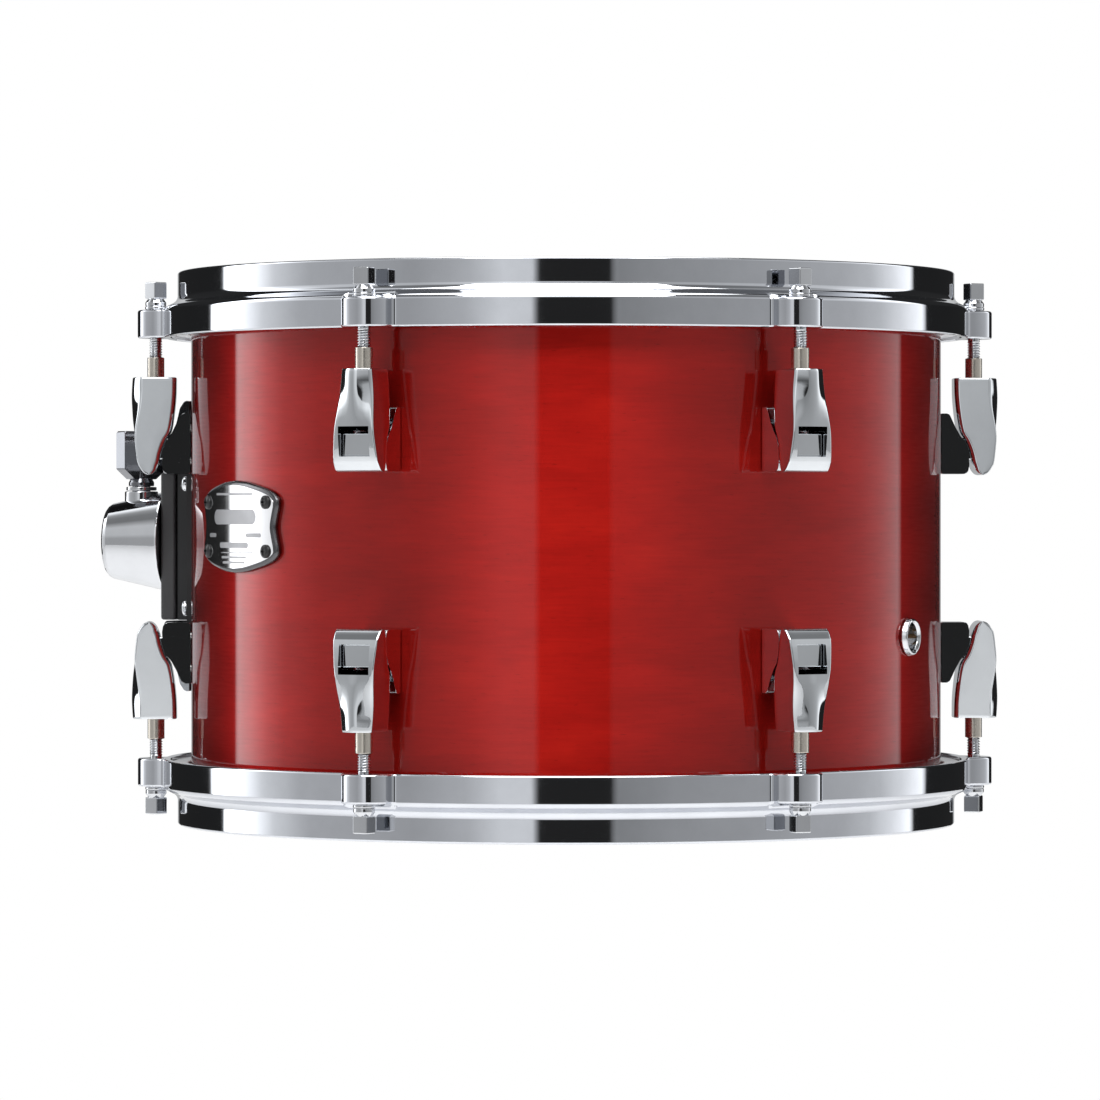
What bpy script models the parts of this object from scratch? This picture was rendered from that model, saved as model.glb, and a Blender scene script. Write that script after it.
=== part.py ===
"""Tom tom drum: a 12 x 8 inch wooden shell with cast hoops, hook lugs and a side mount.

Metres, +Z up. The origin is the middle of the batter head's top face, the drum's axis is Z,
and the drum's front is -Y. Every piece is first shaped at azimuth 0, where +X points out of
the drum, +Y runs along its wall and +Z is up, and is then turned about Z to its place.
Hardware of one head is shaped for the batter side, with Z counted from that head's outer
face, and hangs from an empty. The empty of the resonant side is turned over about X.
"""

import math

import bmesh
import bpy
from mathutils import Matrix

MM = 0.001

# Driving dimensions
SHELL_RADIUS = 151.0 * MM
SHELL_WALL = 5.6 * MM
SHELL_DEPTH = 203.2 * MM
GAP = 0.3 * MM
BATTER_FILM = 0.36 * MM
RESONANT_FILM = 0.25 * MM
LUG_COUNT = 6
RING_SIDES = 60

# Heights of the shell and of the resonant head
SHELL_TOP = -(BATTER_FILM + GAP)
SHELL_BOTTOM = SHELL_TOP - SHELL_DEPTH
RESONANT_FACE = SHELL_BOTTOM - GAP - RESONANT_FILM
SHELL_INSIDE = SHELL_RADIUS - SHELL_WALL
WALL_SEAT = SHELL_INSIDE - 2 * GAP
VENT_SEAT = SHELL_INSIDE - 3 * GAP

# Bearing edges
EDGE_RADIUS = 148.7 * MM
EDGE_FLAT = 0.7 * MM
EDGE_INNER_DROP = 2.6 * MM
EDGE_OUTER_DROP = 2.6 * MM
EDGE_BREAK = 0.8 * MM

# Cast hoops. The cove joins the rim to the wider band below it, as (radius, height).
HOOP_RISE = 8.5 * MM
HOOP_HEIGHT = 26.3 * MM
HOOP_BOTTOM = HOOP_RISE - HOOP_HEIGHT
HOOP_UPPER_RADIUS = 156.4 * MM
HOOP_UPPER_INNER = 152.6 * MM
HOOP_COVE = ((156.4 * MM, -1.4 * MM), (157.6 * MM, -3.5 * MM), (160.5 * MM, -5.0 * MM))
HOOP_LOWER_RADIUS = 162.0 * MM
HOOP_LOWER_INNER = 159.4 * MM
HOOP_LOWER_TOP = -6.1 * MM
HOOP_SHOULDER = -7.5 * MM
RIM_CHAMFER = 1.2 * MM
EAR_TOP = -6.5 * MM
EAR_ROOT = 160.6 * MM
EAR_REACH = 172.5 * MM
EAR_HALF_WIDTH = 10.5 * MM
EAR_HOLE = 3.3 * MM
EAR_SEAT_MARGIN = 0.5 * MM

# Heads. The collar curves down from the film's edge, as (radius, height), to the flesh hoop.
FILM_RADIUS = 149.0 * MM
FLESH_TOP = HOOP_SHOULDER - GAP
FLESH_HEIGHT = 8.5 * MM
FLESH_OUTER = 159.0 * MM
COLLAR_THICKNESS = 0.4 * MM
COLLAR_CURVE = (
    (149.3 * MM, 0.0),
    (151.4 * MM, -1.1 * MM),
    (151.9 * MM, -2.3 * MM),
)

# Tension rods. Each turn is how far a rod's square head is turned in its ear, in degrees.
ROD_CIRCLE = 165.2 * MM
ROD_THREAD = 2.6 * MM
ROD_SHANK = 2.35 * MM
ROD_SIDES = 10
ROD_TURNS = (4, 9, 22, 35, 64, 41)
ROD_HEAD_WIDTH = 6.35 * MM
ROD_HEAD_TOP = 4.8 * MM
ROD_HEAD_BOTTOM = -1.85 * MM
ROD_NECK = 3.1 * MM
ROD_NECK_HEIGHT = 0.5 * MM
ROD_COLLAR = 4.2 * MM
ROD_COLLAR_HEIGHT = 1.9 * MM
ROD_THREAD_START = 1.0 * MM
ROD_THREAD_RAMP = 0.5 * MM
ROD_END = -47.0 * MM
WASHER_RADIUS = 4.3 * MM
WASHER_THICKNESS = 1.3 * MM

# Lugs, with depths counted down from the lug's top. The two side outlines are of (radius,
# depth), in millimetres.
LUG_TOP = -33.5 * MM
LUG_LENGTH = 39.2 * MM
LUG_SIDE = (
    (156.8, 0.0), (174.1, 0.0), (174.9, 9.2), (173.7, 23.7), (172.6, 33.1), (170.8, 37.4),
    (168.0, 39.2), (164.0, 35.2), (162.9, 29.5), (161.1, 24.5), (159.3, 23.0), (157.9, 16.5),
)
LUG_TOP_HALF_WIDTH = 6.4 * MM
LUG_BOTTOM_HALF_WIDTH = 10.0 * MM
LUG_BORE_DEPTH = 17.0 * MM
LUG_WINDOW_TOP = 21.9 * MM
LUG_WINDOW_BOTTOM = 33.3 * MM
LUG_WINDOW_HALF_WIDTH = 6.6 * MM
LUG_BASE_SIDE = (
    (151.3, 14.4), (154.6, 14.4), (157.2, 20.2), (158.7, 23.2), (160.6, 25.2),
    (162.3, 29.8), (162.6, 35.2), (162.0, 38.3), (160.5, 38.8), (151.3, 38.8),
)
LUG_BASE_HALF_WIDTH = 8.0 * MM
HOOK_BACK = 160.0 * MM
HOOK_FACE = 170.8 * MM
HOOK_TOP_DEPTH = 26.0 * MM
SLEEVE_RADIUS = 3.4 * MM
SLEEVE_BORE = 2.9 * MM
SLEEVE_RISE = 8.0 * MM
LUG_BOLT_DEPTHS = (20.5 * MM, 33.5 * MM)
BOLT_SHANK = 1.9 * MM
BOLT_HEAD = 4.0 * MM
BOLT_HEAD_HEIGHT = 2.4 * MM
BOLT_HEAD_CHAMFER = 0.8 * MM
BOLT_END = 155.6 * MM

# Badge and vent. The quarter runs from the badge's top edge to its waist, in millimetres.
BADGE_AZIMUTH = math.radians(210)
BADGE_Z = -93.4 * MM
BADGE_THICKNESS = 2.4 * MM
BADGE_BLANK_HALF_HEIGHT = 20.0 * MM
BADGE_QUARTER = (
    (0.0, 18.0), (7.5, 17.5), (14.0, 16.4), (20.5, 15.0), (25.6, 13.2),
    (28.3, 10.9), (28.6, 8.0), (27.5, 4.0), (26.7, 0.0),
)
RIVET_PLACES = ((22.4 * MM, 9.5 * MM), (22.4 * MM, -9.5 * MM))
RIVET_HEAD = 2.6 * MM
RIVET_HEAD_CROWN = 2.0 * MM
RIVET_HEAD_EDGE = 0.8 * MM
RIVET_HEAD_HEIGHT = 1.0 * MM
RIVET_SHANK = 1.2 * MM
RIVET_DEPTH = 3.0 * MM
RIVET_CLEARANCE = 0.5 * MM
VENT_AZIMUTH = math.radians(330)
VENT_Z = -136.5 * MM
VENT_FLANGE = 7.5 * MM
VENT_FLANGE_HEIGHT = 2.4 * MM
VENT_ROLL = 0.9 * MM
VENT_LIP = 7.2 * MM
VENT_LIP_HEIGHT = 1.0 * MM
VENT_TUBE = 6.2 * MM
VENT_BORE = 5.3 * MM
VENT_WASHER = 8.6 * MM
VENT_WASHER_THICKNESS = 1.0 * MM

# Side mount, behind the lug on the drum's left. The plate's quarter is of (distance along the
# wall, rise from the mount's middle) and the housing's side of (radius, rise), in millimetres.
MOUNT_AZIMUTH = math.radians(167)
MOUNT_Z = -101.5 * MM
MOUNT_PLATE = 2.4 * MM
MOUNT_PLATE_QUARTER = ((21.5, 32.0), (15.0, 42.0), (11.0, 56.0), (5.0, 62.5))
MOUNT_HOUSING_SIDE = (
    (152.0, 30.4), (152.0, 59.0), (154.5, 59.0), (156.5, 56.0), (158.3, 49.5),
    (160.5, 45.5), (164.2, 42.5), (164.2, 33.0), (163.4, 30.4),
)
MOUNT_HOUSING_HALF_WIDTH = 14.0 * MM
ISOLATOR_FACE = 165.2 * MM
ISOLATOR_HALF_LENGTH = 30.0 * MM
RECEIVER_Z = -99.5 * MM
RECEIVER_BASE = 20.3 * MM
RECEIVER_FRONT = 15.3 * MM
RECEIVER_MOUTH = 190.7 * MM
RECEIVER_SOCKET = 9.0 * MM
RECEIVER_LIP = 3.0 * MM
RECEIVER_BOSS = 6.8 * MM
BOSS_FOOT = 13.0 * MM
POCKET_FOOT = 5.0 * MM
CLAMP_RADIUS = 176.8 * MM
CLAMP_BOSS_TOP = -79.2 * MM
CLAMP_TRAVEL = 4.0 * MM
CLAMP_THREAD = 3.7 * MM
CLAMP_COLLAR = 5.2 * MM
CLAMP_COLLAR_HEIGHT = 1.0 * MM
CLAMP_NECK = 4.6 * MM
NECK_OVERLAP = 2.0 * MM
CLAMP_WASHER = 6.2 * MM
CLAMP_WASHER_THICKNESS = 1.5 * MM
SHOE_BOTTOM = -91.8 * MM
SHOE_HEIGHT = 3.5 * MM
SHOE_HALF_WIDTH = 4.9 * MM
WING_TOP = -54.6 * MM
WING_BOTTOM = -74.3 * MM
WING_HALF_WIDTH = 10.0 * MM
WING_ROOT_HALF_WIDTH = 5.0 * MM
WING_TAPER = 4.2 * MM
WING_THICKNESS = 6.6 * MM
WING_AZIMUTH = math.radians(213)
MOUNT_BOLT_ANGLE = math.radians(6.6)
MOUNT_BOLT_RISE = 25.0 * MM
MOUNT_BOLT_HEAD = 3.3 * MM
MOUNT_BOLT_CROWN = 2.4 * MM
MOUNT_BOLT_HEAD_HEIGHT = 2.6 * MM
MOUNT_NUT = 4.2 * MM
MOUNT_NUT_HEIGHT = 3.4 * MM

FINISHES = {
    "lacquer": ((0.36, 0.012, 0.010, 1.0), 0.0, 0.12),
    "chrome": ((0.78, 0.79, 0.80, 1.0), 1.0, 0.08),
    "steel": ((0.55, 0.56, 0.57, 1.0), 1.0, 0.30),
    "coated_film": ((0.86, 0.86, 0.83, 1.0), 0.0, 0.55),
    "clear_film": ((0.80, 0.82, 0.83, 1.0), 0.0, 0.15),
    "black_metal": ((0.02, 0.02, 0.02, 1.0), 0.6, 0.35),
    "rubber": ((0.05, 0.05, 0.055, 1.0), 0.0, 0.70),
}

# Turns a mesh built about Z so that its Z axis points along +X, out of the drum
OUTWARDS = Matrix.Rotation(math.pi / 2, 4, "Y")


def clear_scene():
    for obj in list(bpy.data.objects):
        bpy.data.objects.remove(obj)


def new_collection(name):
    collection = bpy.data.collections.new(name)
    bpy.context.scene.collection.children.link(collection)
    return collection


def make_materials():
    materials = {}
    for name, (colour, metallic, roughness) in FINISHES.items():
        material = bpy.data.materials.new(name)
        material.use_nodes = True
        shader = material.node_tree.nodes["Principled BSDF"]
        shader.inputs["Base Color"].default_value = colour
        shader.inputs["Metallic"].default_value = metallic
        shader.inputs["Roughness"].default_value = roughness
        materials[name] = material
    return materials


def lug_azimuth(number):
    """Lug 1 is at the front left, and the numbers run counter-clockwise from above."""
    return math.radians(240 + (number - 1) * 360 / LUG_COUNT)


# Shapes. Each function returns a mesh, built at azimuth 0.


def loose(data):
    """Put data on an object in the scene, so that its modifiers can be evaluated."""
    obj = bpy.data.objects.new("workpiece", data)
    bpy.context.scene.collection.objects.link(obj)
    return obj


def finished(obj):
    """The object's evaluated mesh, welded and facing out. The object is removed."""
    bpy.context.view_layer.update()
    evaluated = obj.evaluated_get(bpy.context.evaluated_depsgraph_get())
    mesh = bpy.data.meshes.new_from_object(evaluated)
    bpy.data.objects.remove(obj)
    edit = bmesh.new()
    edit.from_mesh(mesh)
    bmesh.ops.remove_doubles(edit, verts=edit.verts, dist=0.001 * MM)
    bmesh.ops.recalc_face_normals(edit, faces=edit.faces)
    edit.to_mesh(mesh)
    edit.free()
    return mesh


def moved(mesh, matrix):
    mesh.transform(matrix)
    return mesh


def turned(profile, sides):
    """A profile of (radius, height) turned about Z. An open profile starts and ends on the axis."""
    mesh = bpy.data.meshes.new("profile")
    count = len(profile)
    edges = [(i, i + 1) for i in range(count - 1)]
    if profile[0][0] > 0:
        edges.append((count - 1, 0))
    mesh.from_pydata([(radius, 0, height) for radius, height in profile], edges, [])
    obj = loose(mesh)
    screw = obj.modifiers.new("turn", "SCREW")
    screw.steps = sides
    screw.render_steps = sides
    screw.use_merge_vertices = True
    screw.merge_threshold = 0.01 * MM
    return finished(obj)


def ring(inner, outer, low, high, sides):
    return turned([(outer, high), (outer, low), (inner, low), (inner, high)], sides)


def rod(radius, low, high, sides):
    return turned([(0, high), (radius, high), (radius, low), (0, low)], sides)


def box(low, high):
    mesh = bpy.data.meshes.new("box")
    edit = bmesh.new()
    bmesh.ops.create_cube(edit, size=1.0)
    edit.to_mesh(mesh)
    edit.free()
    size = [b - a for a, b in zip(low, high)]
    middle = [(a + b) / 2 for a, b in zip(low, high)]
    return moved(mesh, Matrix.Translation(middle) @ Matrix.Diagonal((*size, 1)))


def flat_outline(points, half_thickness):
    """A filled 2D outline in the XY plane, extruded both ways along Z."""
    curve = bpy.data.curves.new("outline", "CURVE")
    curve.dimensions = "2D"
    curve.fill_mode = "BOTH"
    curve.extrude = half_thickness
    spline = curve.splines.new("POLY")
    spline.points.add(len(points) - 1)
    for point, (x, y) in zip(spline.points, points):
        point.co = (x, y, 0, 1)
    spline.use_cyclic_u = True
    return finished(loose(curve))


def side_outline(points, half_width):
    """An outline of (radius, height), extruded along the drum's wall."""
    return moved(flat_outline(points, half_width), Matrix.Rotation(math.pi / 2, 4, "X"))


def front_outline(points, low_radius, high_radius):
    """An outline of (distance along the wall, height), extruded out of the drum."""
    mesh = flat_outline(points, (high_radius - low_radius) / 2)
    turn = Matrix(((0, 0, 1, 0), (1, 0, 0, 0), (0, 1, 0, 0), (0, 0, 0, 1)))
    return moved(mesh, Matrix.Translation(((low_radius + high_radius) / 2, 0, 0)) @ turn)


def combined(mesh, others, operation):
    """Boolean of a mesh with other meshes, one after another."""
    obj = loose(mesh)
    tools = []
    for other in others:
        tools.append(loose(other))
        boolean = obj.modifiers.new("boolean", "BOOLEAN")
        boolean.operation = operation
        boolean.object = tools[-1]
        boolean.solver = "EXACT"
    mesh = finished(obj)
    for tool in tools:
        bpy.data.objects.remove(tool)
    return mesh


def gathered(meshes):
    """One mesh that holds every given mesh as a separate body."""
    edit = bmesh.new()
    for mesh in meshes:
        edit.from_mesh(mesh)
    group = bpy.data.meshes.new("group")
    edit.to_mesh(group)
    edit.free()
    return group


def copied(mesh, placements):
    """One mesh that holds a separate copy of the given mesh at each placement."""
    return gathered([moved(mesh.copy(), matrix) for matrix in placements])


def place(name, mesh, finish, parent=None, location=(0, 0, 0), azimuth=0.0):
    """Add a finished piece to the drum's collection."""
    data = mesh.copy()
    data.name = name
    data.materials.clear()
    data.materials.append(MATERIALS[finish])
    data.shade_smooth()
    data.set_sharp_from_angle(angle=math.radians(30))
    obj = bpy.data.objects.new(name, data)
    obj.location = location
    obj.rotation_euler = (0, 0, azimuth)
    obj.parent = parent
    DRUM.objects.link(obj)
    return obj


def around(azimuth, height=0.0):
    return Matrix.Translation((0, 0, height)) @ Matrix.Rotation(azimuth, 4, "Z")


# Shell, with the holes that its fittings need


def shell_mesh():
    top_rim = [
        (EDGE_RADIUS - EDGE_FLAT, SHELL_TOP),
        (EDGE_RADIUS, SHELL_TOP),
        (SHELL_RADIUS - EDGE_BREAK, SHELL_TOP - EDGE_BREAK),
        (SHELL_RADIUS, SHELL_TOP - EDGE_OUTER_DROP),
    ]
    middle = (SHELL_TOP + SHELL_BOTTOM) / 2
    outer = top_rim + [(radius, 2 * middle - z) for radius, z in reversed(top_rim)]
    inner = [
        (SHELL_INSIDE, SHELL_BOTTOM + EDGE_INNER_DROP),
        (SHELL_INSIDE, SHELL_TOP - EDGE_INNER_DROP),
    ]
    return turned(outer + inner, RING_SIDES)


def wall_hole(radius, azimuth, z, inside=SHELL_INSIDE - 5 * MM):
    """A drill that goes through the wall, or from the given radius outwards."""
    sides = 12 if radius > 3 * MM else 8
    drill = moved(rod(radius, inside, SHELL_RADIUS + 5 * MM, sides), OUTWARDS)
    return moved(drill, around(azimuth, z))


def lug_bolt_places():
    places = []
    for number in range(1, LUG_COUNT + 1):
        for depth in LUG_BOLT_DEPTHS:
            places.append((lug_azimuth(number), LUG_TOP - depth))
            places.append((lug_azimuth(number), RESONANT_FACE - LUG_TOP + depth))
    return places


def mount_bolt_places():
    return [
        (MOUNT_AZIMUTH + side * MOUNT_BOLT_ANGLE, MOUNT_Z + end * MOUNT_BOLT_RISE)
        for side in (-1, 1)
        for end in (-1, 1)
    ]


def rivet_places():
    places = []
    for along, rise in RIVET_PLACES:
        angle = math.asin(along / SHELL_RADIUS)
        places.append((BADGE_AZIMUTH + angle, BADGE_Z + rise))
        places.append((BADGE_AZIMUTH - angle, BADGE_Z + rise))
    return places


def make_shell():
    drills = [wall_hole(VENT_TUBE + GAP, VENT_AZIMUTH, VENT_Z)]
    drills += [wall_hole(BOLT_SHANK + GAP, *spot) for spot in lug_bolt_places()]
    drills += [wall_hole(BOLT_SHANK + GAP, *spot) for spot in mount_bolt_places()]
    blind = SHELL_RADIUS - RIVET_DEPTH - RIVET_CLEARANCE
    drills += [wall_hole(RIVET_SHANK + GAP, *spot, blind) for spot in rivet_places()]
    shell = place("shell", shell_mesh(), "lacquer")
    cutter = bpy.data.objects.new("shell_holes", gathered(drills))
    cutter.hide_render = True
    cutter.display_type = "WIRE"
    CUTTERS.objects.link(cutter)
    boolean = shell.modifiers.new("holes", "BOOLEAN")
    boolean.operation = "DIFFERENCE"
    boolean.solver = "EXACT"
    boolean.object = cutter


def make_vent():
    """A flanged tube through the wall, rolled over a washer on the inside."""
    flange = SHELL_RADIUS + GAP
    lip = VENT_SEAT - VENT_WASHER_THICKNESS - GAP
    profile = [
        (VENT_BORE + VENT_ROLL, flange + VENT_FLANGE_HEIGHT),
        (VENT_FLANGE - VENT_ROLL, flange + 0.75 * VENT_FLANGE_HEIGHT),
        (VENT_FLANGE, flange + 0.33 * VENT_FLANGE_HEIGHT),
        (VENT_FLANGE, flange),
        (VENT_TUBE, flange),
        (VENT_TUBE, lip),
        (VENT_LIP, lip),
        (VENT_LIP, lip - VENT_LIP_HEIGHT),
        (VENT_BORE, lip - VENT_LIP_HEIGHT),
        (VENT_BORE, flange + 0.67 * VENT_FLANGE_HEIGHT),
    ]
    on_shell = around(VENT_AZIMUTH) @ OUTWARDS
    grommet = moved(turned(profile, 20), on_shell)
    place("vent_grommet", grommet, "chrome", location=(0, 0, VENT_Z))
    back = VENT_SEAT - VENT_WASHER_THICKNESS
    washer = moved(ring(VENT_TUBE + GAP, VENT_WASHER, back, VENT_SEAT, 20), on_shell)
    place("vent_washer", washer, "steel", location=(0, 0, VENT_Z))


def badge_outline():
    """Bulging top and bottom edges, round lobes about the screws, and a waist between them."""
    quarter = [(along * MM, rise * MM) for along, rise in BADGE_QUARTER]
    lower = [(along, -rise) for along, rise in reversed(quarter[:-1])]
    right = quarter + lower
    return right + [(-along, -rise) for along, rise in right[1:-1]]


def make_badge():
    low = SHELL_RADIUS + GAP
    high = low + BADGE_THICKNESS
    half = BADGE_BLANK_HALF_HEIGHT
    band = ring(low, high, -half, half, RING_SIDES)
    blank = combined(band, [front_outline(badge_outline(), 140 * MM, 160 * MM)], "INTERSECT")
    holes = [
        wall_hole(RIVET_SHANK + GAP, azimuth - BADGE_AZIMUTH, z - BADGE_Z)
        for azimuth, z in rivet_places()
    ]
    plate = combined(blank, [gathered(holes)], "DIFFERENCE")
    place("badge_plate", plate, "steel", location=(0, 0, BADGE_Z), azimuth=BADGE_AZIMUTH)
    seat = high + GAP
    tip = SHELL_RADIUS - RIVET_DEPTH
    rivet = turned(
        [
            (0, seat + RIVET_HEAD_HEIGHT),
            (RIVET_HEAD_CROWN, seat + RIVET_HEAD_EDGE),
            (RIVET_HEAD, seat),
            (RIVET_SHANK, seat),
            (RIVET_SHANK, tip),
            (0, tip),
        ],
        8,
    )
    rivet = moved(rivet, OUTWARDS)
    for number, (azimuth, z) in enumerate(rivet_places(), 1):
        place(f"badge_rivet_{number}", rivet, "black_metal", None, (0, 0, z), azimuth)


# Hardware of one head, with Z counted from the head's outer face


def hoop_mesh():
    outer = [
        (HOOP_UPPER_INNER + RIM_CHAMFER, HOOP_RISE),
        (HOOP_UPPER_RADIUS - RIM_CHAMFER, HOOP_RISE),
        (HOOP_UPPER_RADIUS, HOOP_RISE - RIM_CHAMFER),
        *HOOP_COVE,
        (HOOP_LOWER_RADIUS, HOOP_LOWER_TOP),
        (HOOP_LOWER_RADIUS, HOOP_BOTTOM),
    ]
    inner = [
        (HOOP_LOWER_INNER, HOOP_BOTTOM),
        (HOOP_LOWER_INNER, HOOP_SHOULDER),
        (HOOP_UPPER_INNER, HOOP_SHOULDER),
        (HOOP_UPPER_INNER, HOOP_RISE - RIM_CHAMFER),
    ]
    return turned(outer + inner, RING_SIDES)


def ear_mesh():
    """A solid ear, whose nose is a half cylinder about a vertical axis."""
    nose = EAR_REACH - EAR_HALF_WIDTH
    steps = 8
    points = [(EAR_ROOT, -EAR_HALF_WIDTH)]
    for step in range(steps + 1):
        angle = -math.pi / 2 + math.pi * step / steps
        x = nose + EAR_HALF_WIDTH * math.cos(angle)
        points.append((x, EAR_HALF_WIDTH * math.sin(angle)))
    points.append((EAR_ROOT, EAR_HALF_WIDTH))
    ear = flat_outline(points, (EAR_TOP - HOOP_BOTTOM) / 2)
    return moved(ear, Matrix.Translation((0, 0, (EAR_TOP + HOOP_BOTTOM) / 2)))


def drilled_hoop_mesh():
    """The hoop with its ears, and in each ear a hole and a flat seat for the washer."""
    turns = [around(lug_azimuth(number)) for number in range(1, LUG_COUNT + 1)]
    ears = copied(ear_mesh(), turns)
    seat = WASHER_RADIUS + EAR_SEAT_MARGIN
    hole = turned(
        [
            (0, EAR_TOP + 4 * MM),
            (seat, EAR_TOP + 4 * MM),
            (seat, EAR_TOP),
            (EAR_HOLE, EAR_TOP),
            (EAR_HOLE, HOOP_BOTTOM - 2 * MM),
            (0, HOOP_BOTTOM - 2 * MM),
        ],
        12,
    )
    hole = moved(hole, Matrix.Translation((ROD_CIRCLE, 0, 0)))
    whole = combined(hoop_mesh(), [ears], "UNION")
    return combined(whole, [copied(hole, turns)], "DIFFERENCE")


def film_mesh(thickness):
    return rod(FILM_RADIUS, -thickness, 0, RING_SIDES)


def flesh_hoop_mesh(film):
    """The film's collar, which starts as thick as the film, and the ring the hoop presses on."""
    start, crown, outside = COLLAR_CURVE
    inner = outside[0] - COLLAR_THICKNESS
    bottom = FLESH_TOP - FLESH_HEIGHT
    profile = [
        start,
        crown,
        outside,
        (outside[0], FLESH_TOP),
        (FLESH_OUTER, FLESH_TOP),
        (FLESH_OUTER, bottom),
        (inner, bottom),
        (inner, outside[1]),
        (crown[0] - COLLAR_THICKNESS, crown[1] - COLLAR_THICKNESS),
        (start[0], -film),
    ]
    return turned(profile, RING_SIDES)


def rod_mesh():
    """Square head, cone, collar and washer on a shank. The washer is joined to its rod."""
    seat = EAR_TOP + GAP
    washer_top = seat + WASHER_THICKNESS
    thread_top = HOOP_BOTTOM - ROD_THREAD_START
    body = turned(
        [
            (0, ROD_HEAD_BOTTOM + ROD_NECK_HEIGHT),
            (ROD_NECK, ROD_HEAD_BOTTOM + ROD_NECK_HEIGHT),
            (ROD_NECK, ROD_HEAD_BOTTOM),
            (ROD_COLLAR, washer_top + ROD_COLLAR_HEIGHT),
            (ROD_COLLAR, washer_top),
            (WASHER_RADIUS, washer_top),
            (WASHER_RADIUS, seat),
            (ROD_SHANK, seat),
            (ROD_SHANK, thread_top),
            (ROD_THREAD, thread_top - ROD_THREAD_RAMP),
            (ROD_THREAD, ROD_END),
            (0, ROD_END),
        ],
        ROD_SIDES,
    )
    half = ROD_HEAD_WIDTH / 2
    head = box((-half, -half, ROD_HEAD_BOTTOM), (half, half, ROD_HEAD_TOP))
    return combined(body, [head], "UNION")


def on_lug(points):
    """Points of (radius, depth) in millimetres, as (radius, height)."""
    return [(radius * MM, LUG_TOP - depth * MM) for radius, depth in points]


def tapered(mesh):
    """Narrow a lug-wide mesh towards the lug's top, by the same share at each height."""
    for vertex in mesh.vertices:
        share = (LUG_TOP - vertex.co.z) / LUG_LENGTH
        half = LUG_TOP_HALF_WIDTH + share * (LUG_BOTTOM_HALF_WIDTH - LUG_TOP_HALF_WIDTH)
        vertex.co.y *= half / LUG_BOTTOM_HALF_WIDTH
    return mesh


def lug_mesh():
    """The lug's body, its window, and the threaded sleeve that stands out of its top."""
    body = tapered(side_outline(on_lug(LUG_SIDE), LUG_BOTTOM_HALF_WIDTH))
    on_rod = Matrix.Translation((ROD_CIRCLE, 0, 0))
    top = LUG_TOP + SLEEVE_RISE
    sleeve = moved(rod(SLEEVE_RADIUS, LUG_TOP - 3 * MM, top, 12), on_rod)
    bore = moved(rod(SLEEVE_BORE, LUG_TOP - LUG_BORE_DEPTH, top + 2 * MM, 12), on_rod)
    width = LUG_WINDOW_HALF_WIDTH
    window = box(
        (150 * MM, -width, LUG_TOP - LUG_WINDOW_BOTTOM),
        (180 * MM, width, LUG_TOP - LUG_WINDOW_TOP),
    )
    whole = combined(body, [sleeve], "UNION")
    return combined(whole, [bore, window], "DIFFERENCE")


def lug_screw_mesh():
    """A screw driven into the lug's foot from inside the shell."""
    head = WALL_SEAT - BOLT_HEAD_HEIGHT
    screw = turned(
        [
            (0, BOLT_END),
            (BOLT_SHANK, BOLT_END),
            (BOLT_SHANK, WALL_SEAT),
            (BOLT_HEAD, WALL_SEAT),
            (BOLT_HEAD - BOLT_HEAD_CHAMFER, head),
            (0, head),
        ],
        8,
    )
    return moved(screw, OUTWARDS)


def lug_base_mesh():
    """The foot on the shell, its hook that fills the lug's window, and its two screws."""
    foot = side_outline(on_lug(LUG_BASE_SIDE), LUG_BASE_HALF_WIDTH)
    width = LUG_WINDOW_HALF_WIDTH - GAP
    hook = box(
        (HOOK_BACK, -width, LUG_TOP - LUG_WINDOW_BOTTOM + GAP),
        (HOOK_FACE, width, LUG_TOP - HOOK_TOP_DEPTH),
    )
    screws = [moved(lug_screw_mesh(), around(0, LUG_TOP - depth)) for depth in LUG_BOLT_DEPTHS]
    return combined(foot, [hook, *screws], "UNION")


def make_side(side, parent, turn):
    """Everything that one head carries or is held by. turn is 1 on the batter side, else -1."""
    film = BATTER_FILM if side == "batter" else RESONANT_FILM
    film_finish = "coated_film" if side == "batter" else "clear_film"
    place(f"{side}_hoop", MESHES["hoop"], "chrome", parent)
    place(f"{side}_flesh_hoop", flesh_hoop_mesh(film), "steel", parent)
    place(f"{side}_head_film", film_mesh(film), film_finish, parent)
    for number, degrees in enumerate(ROD_TURNS, 1):
        azimuth = turn * lug_azimuth(number)
        x = ROD_CIRCLE * math.cos(azimuth)
        y = ROD_CIRCLE * math.sin(azimuth)
        square = azimuth + math.radians(degrees)
        place(f"{side}_rod_{number}", MESHES["rod"], "steel", parent, (x, y, 0), square)
        place(f"{side}_lug_{number}", MESHES["lug"], "chrome", parent, azimuth=azimuth)
        name = f"{side}_lug_base_{number}"
        place(name, MESHES["lug_base"], "chrome", parent, azimuth=azimuth)


# Side mount. Heights are counted from the mount's middle, except for the clamp's.


def mount_plate_outline():
    """The plate that hugs the shell, drawn in towards its two ends."""
    right = [(along * MM, rise * MM) for along, rise in MOUNT_PLATE_QUARTER]
    left = [(-along, rise) for along, rise in reversed(right)]
    top = right + left
    return top + [(-along, -rise) for along, rise in top]


def mount_arm_mesh():
    """The housing that holds the isolator's upper end. The lower one is turned over."""
    points = [(radius * MM, rise * MM) for radius, rise in MOUNT_HOUSING_SIDE]
    return side_outline(points, MOUNT_HOUSING_HALF_WIDTH)


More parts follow.
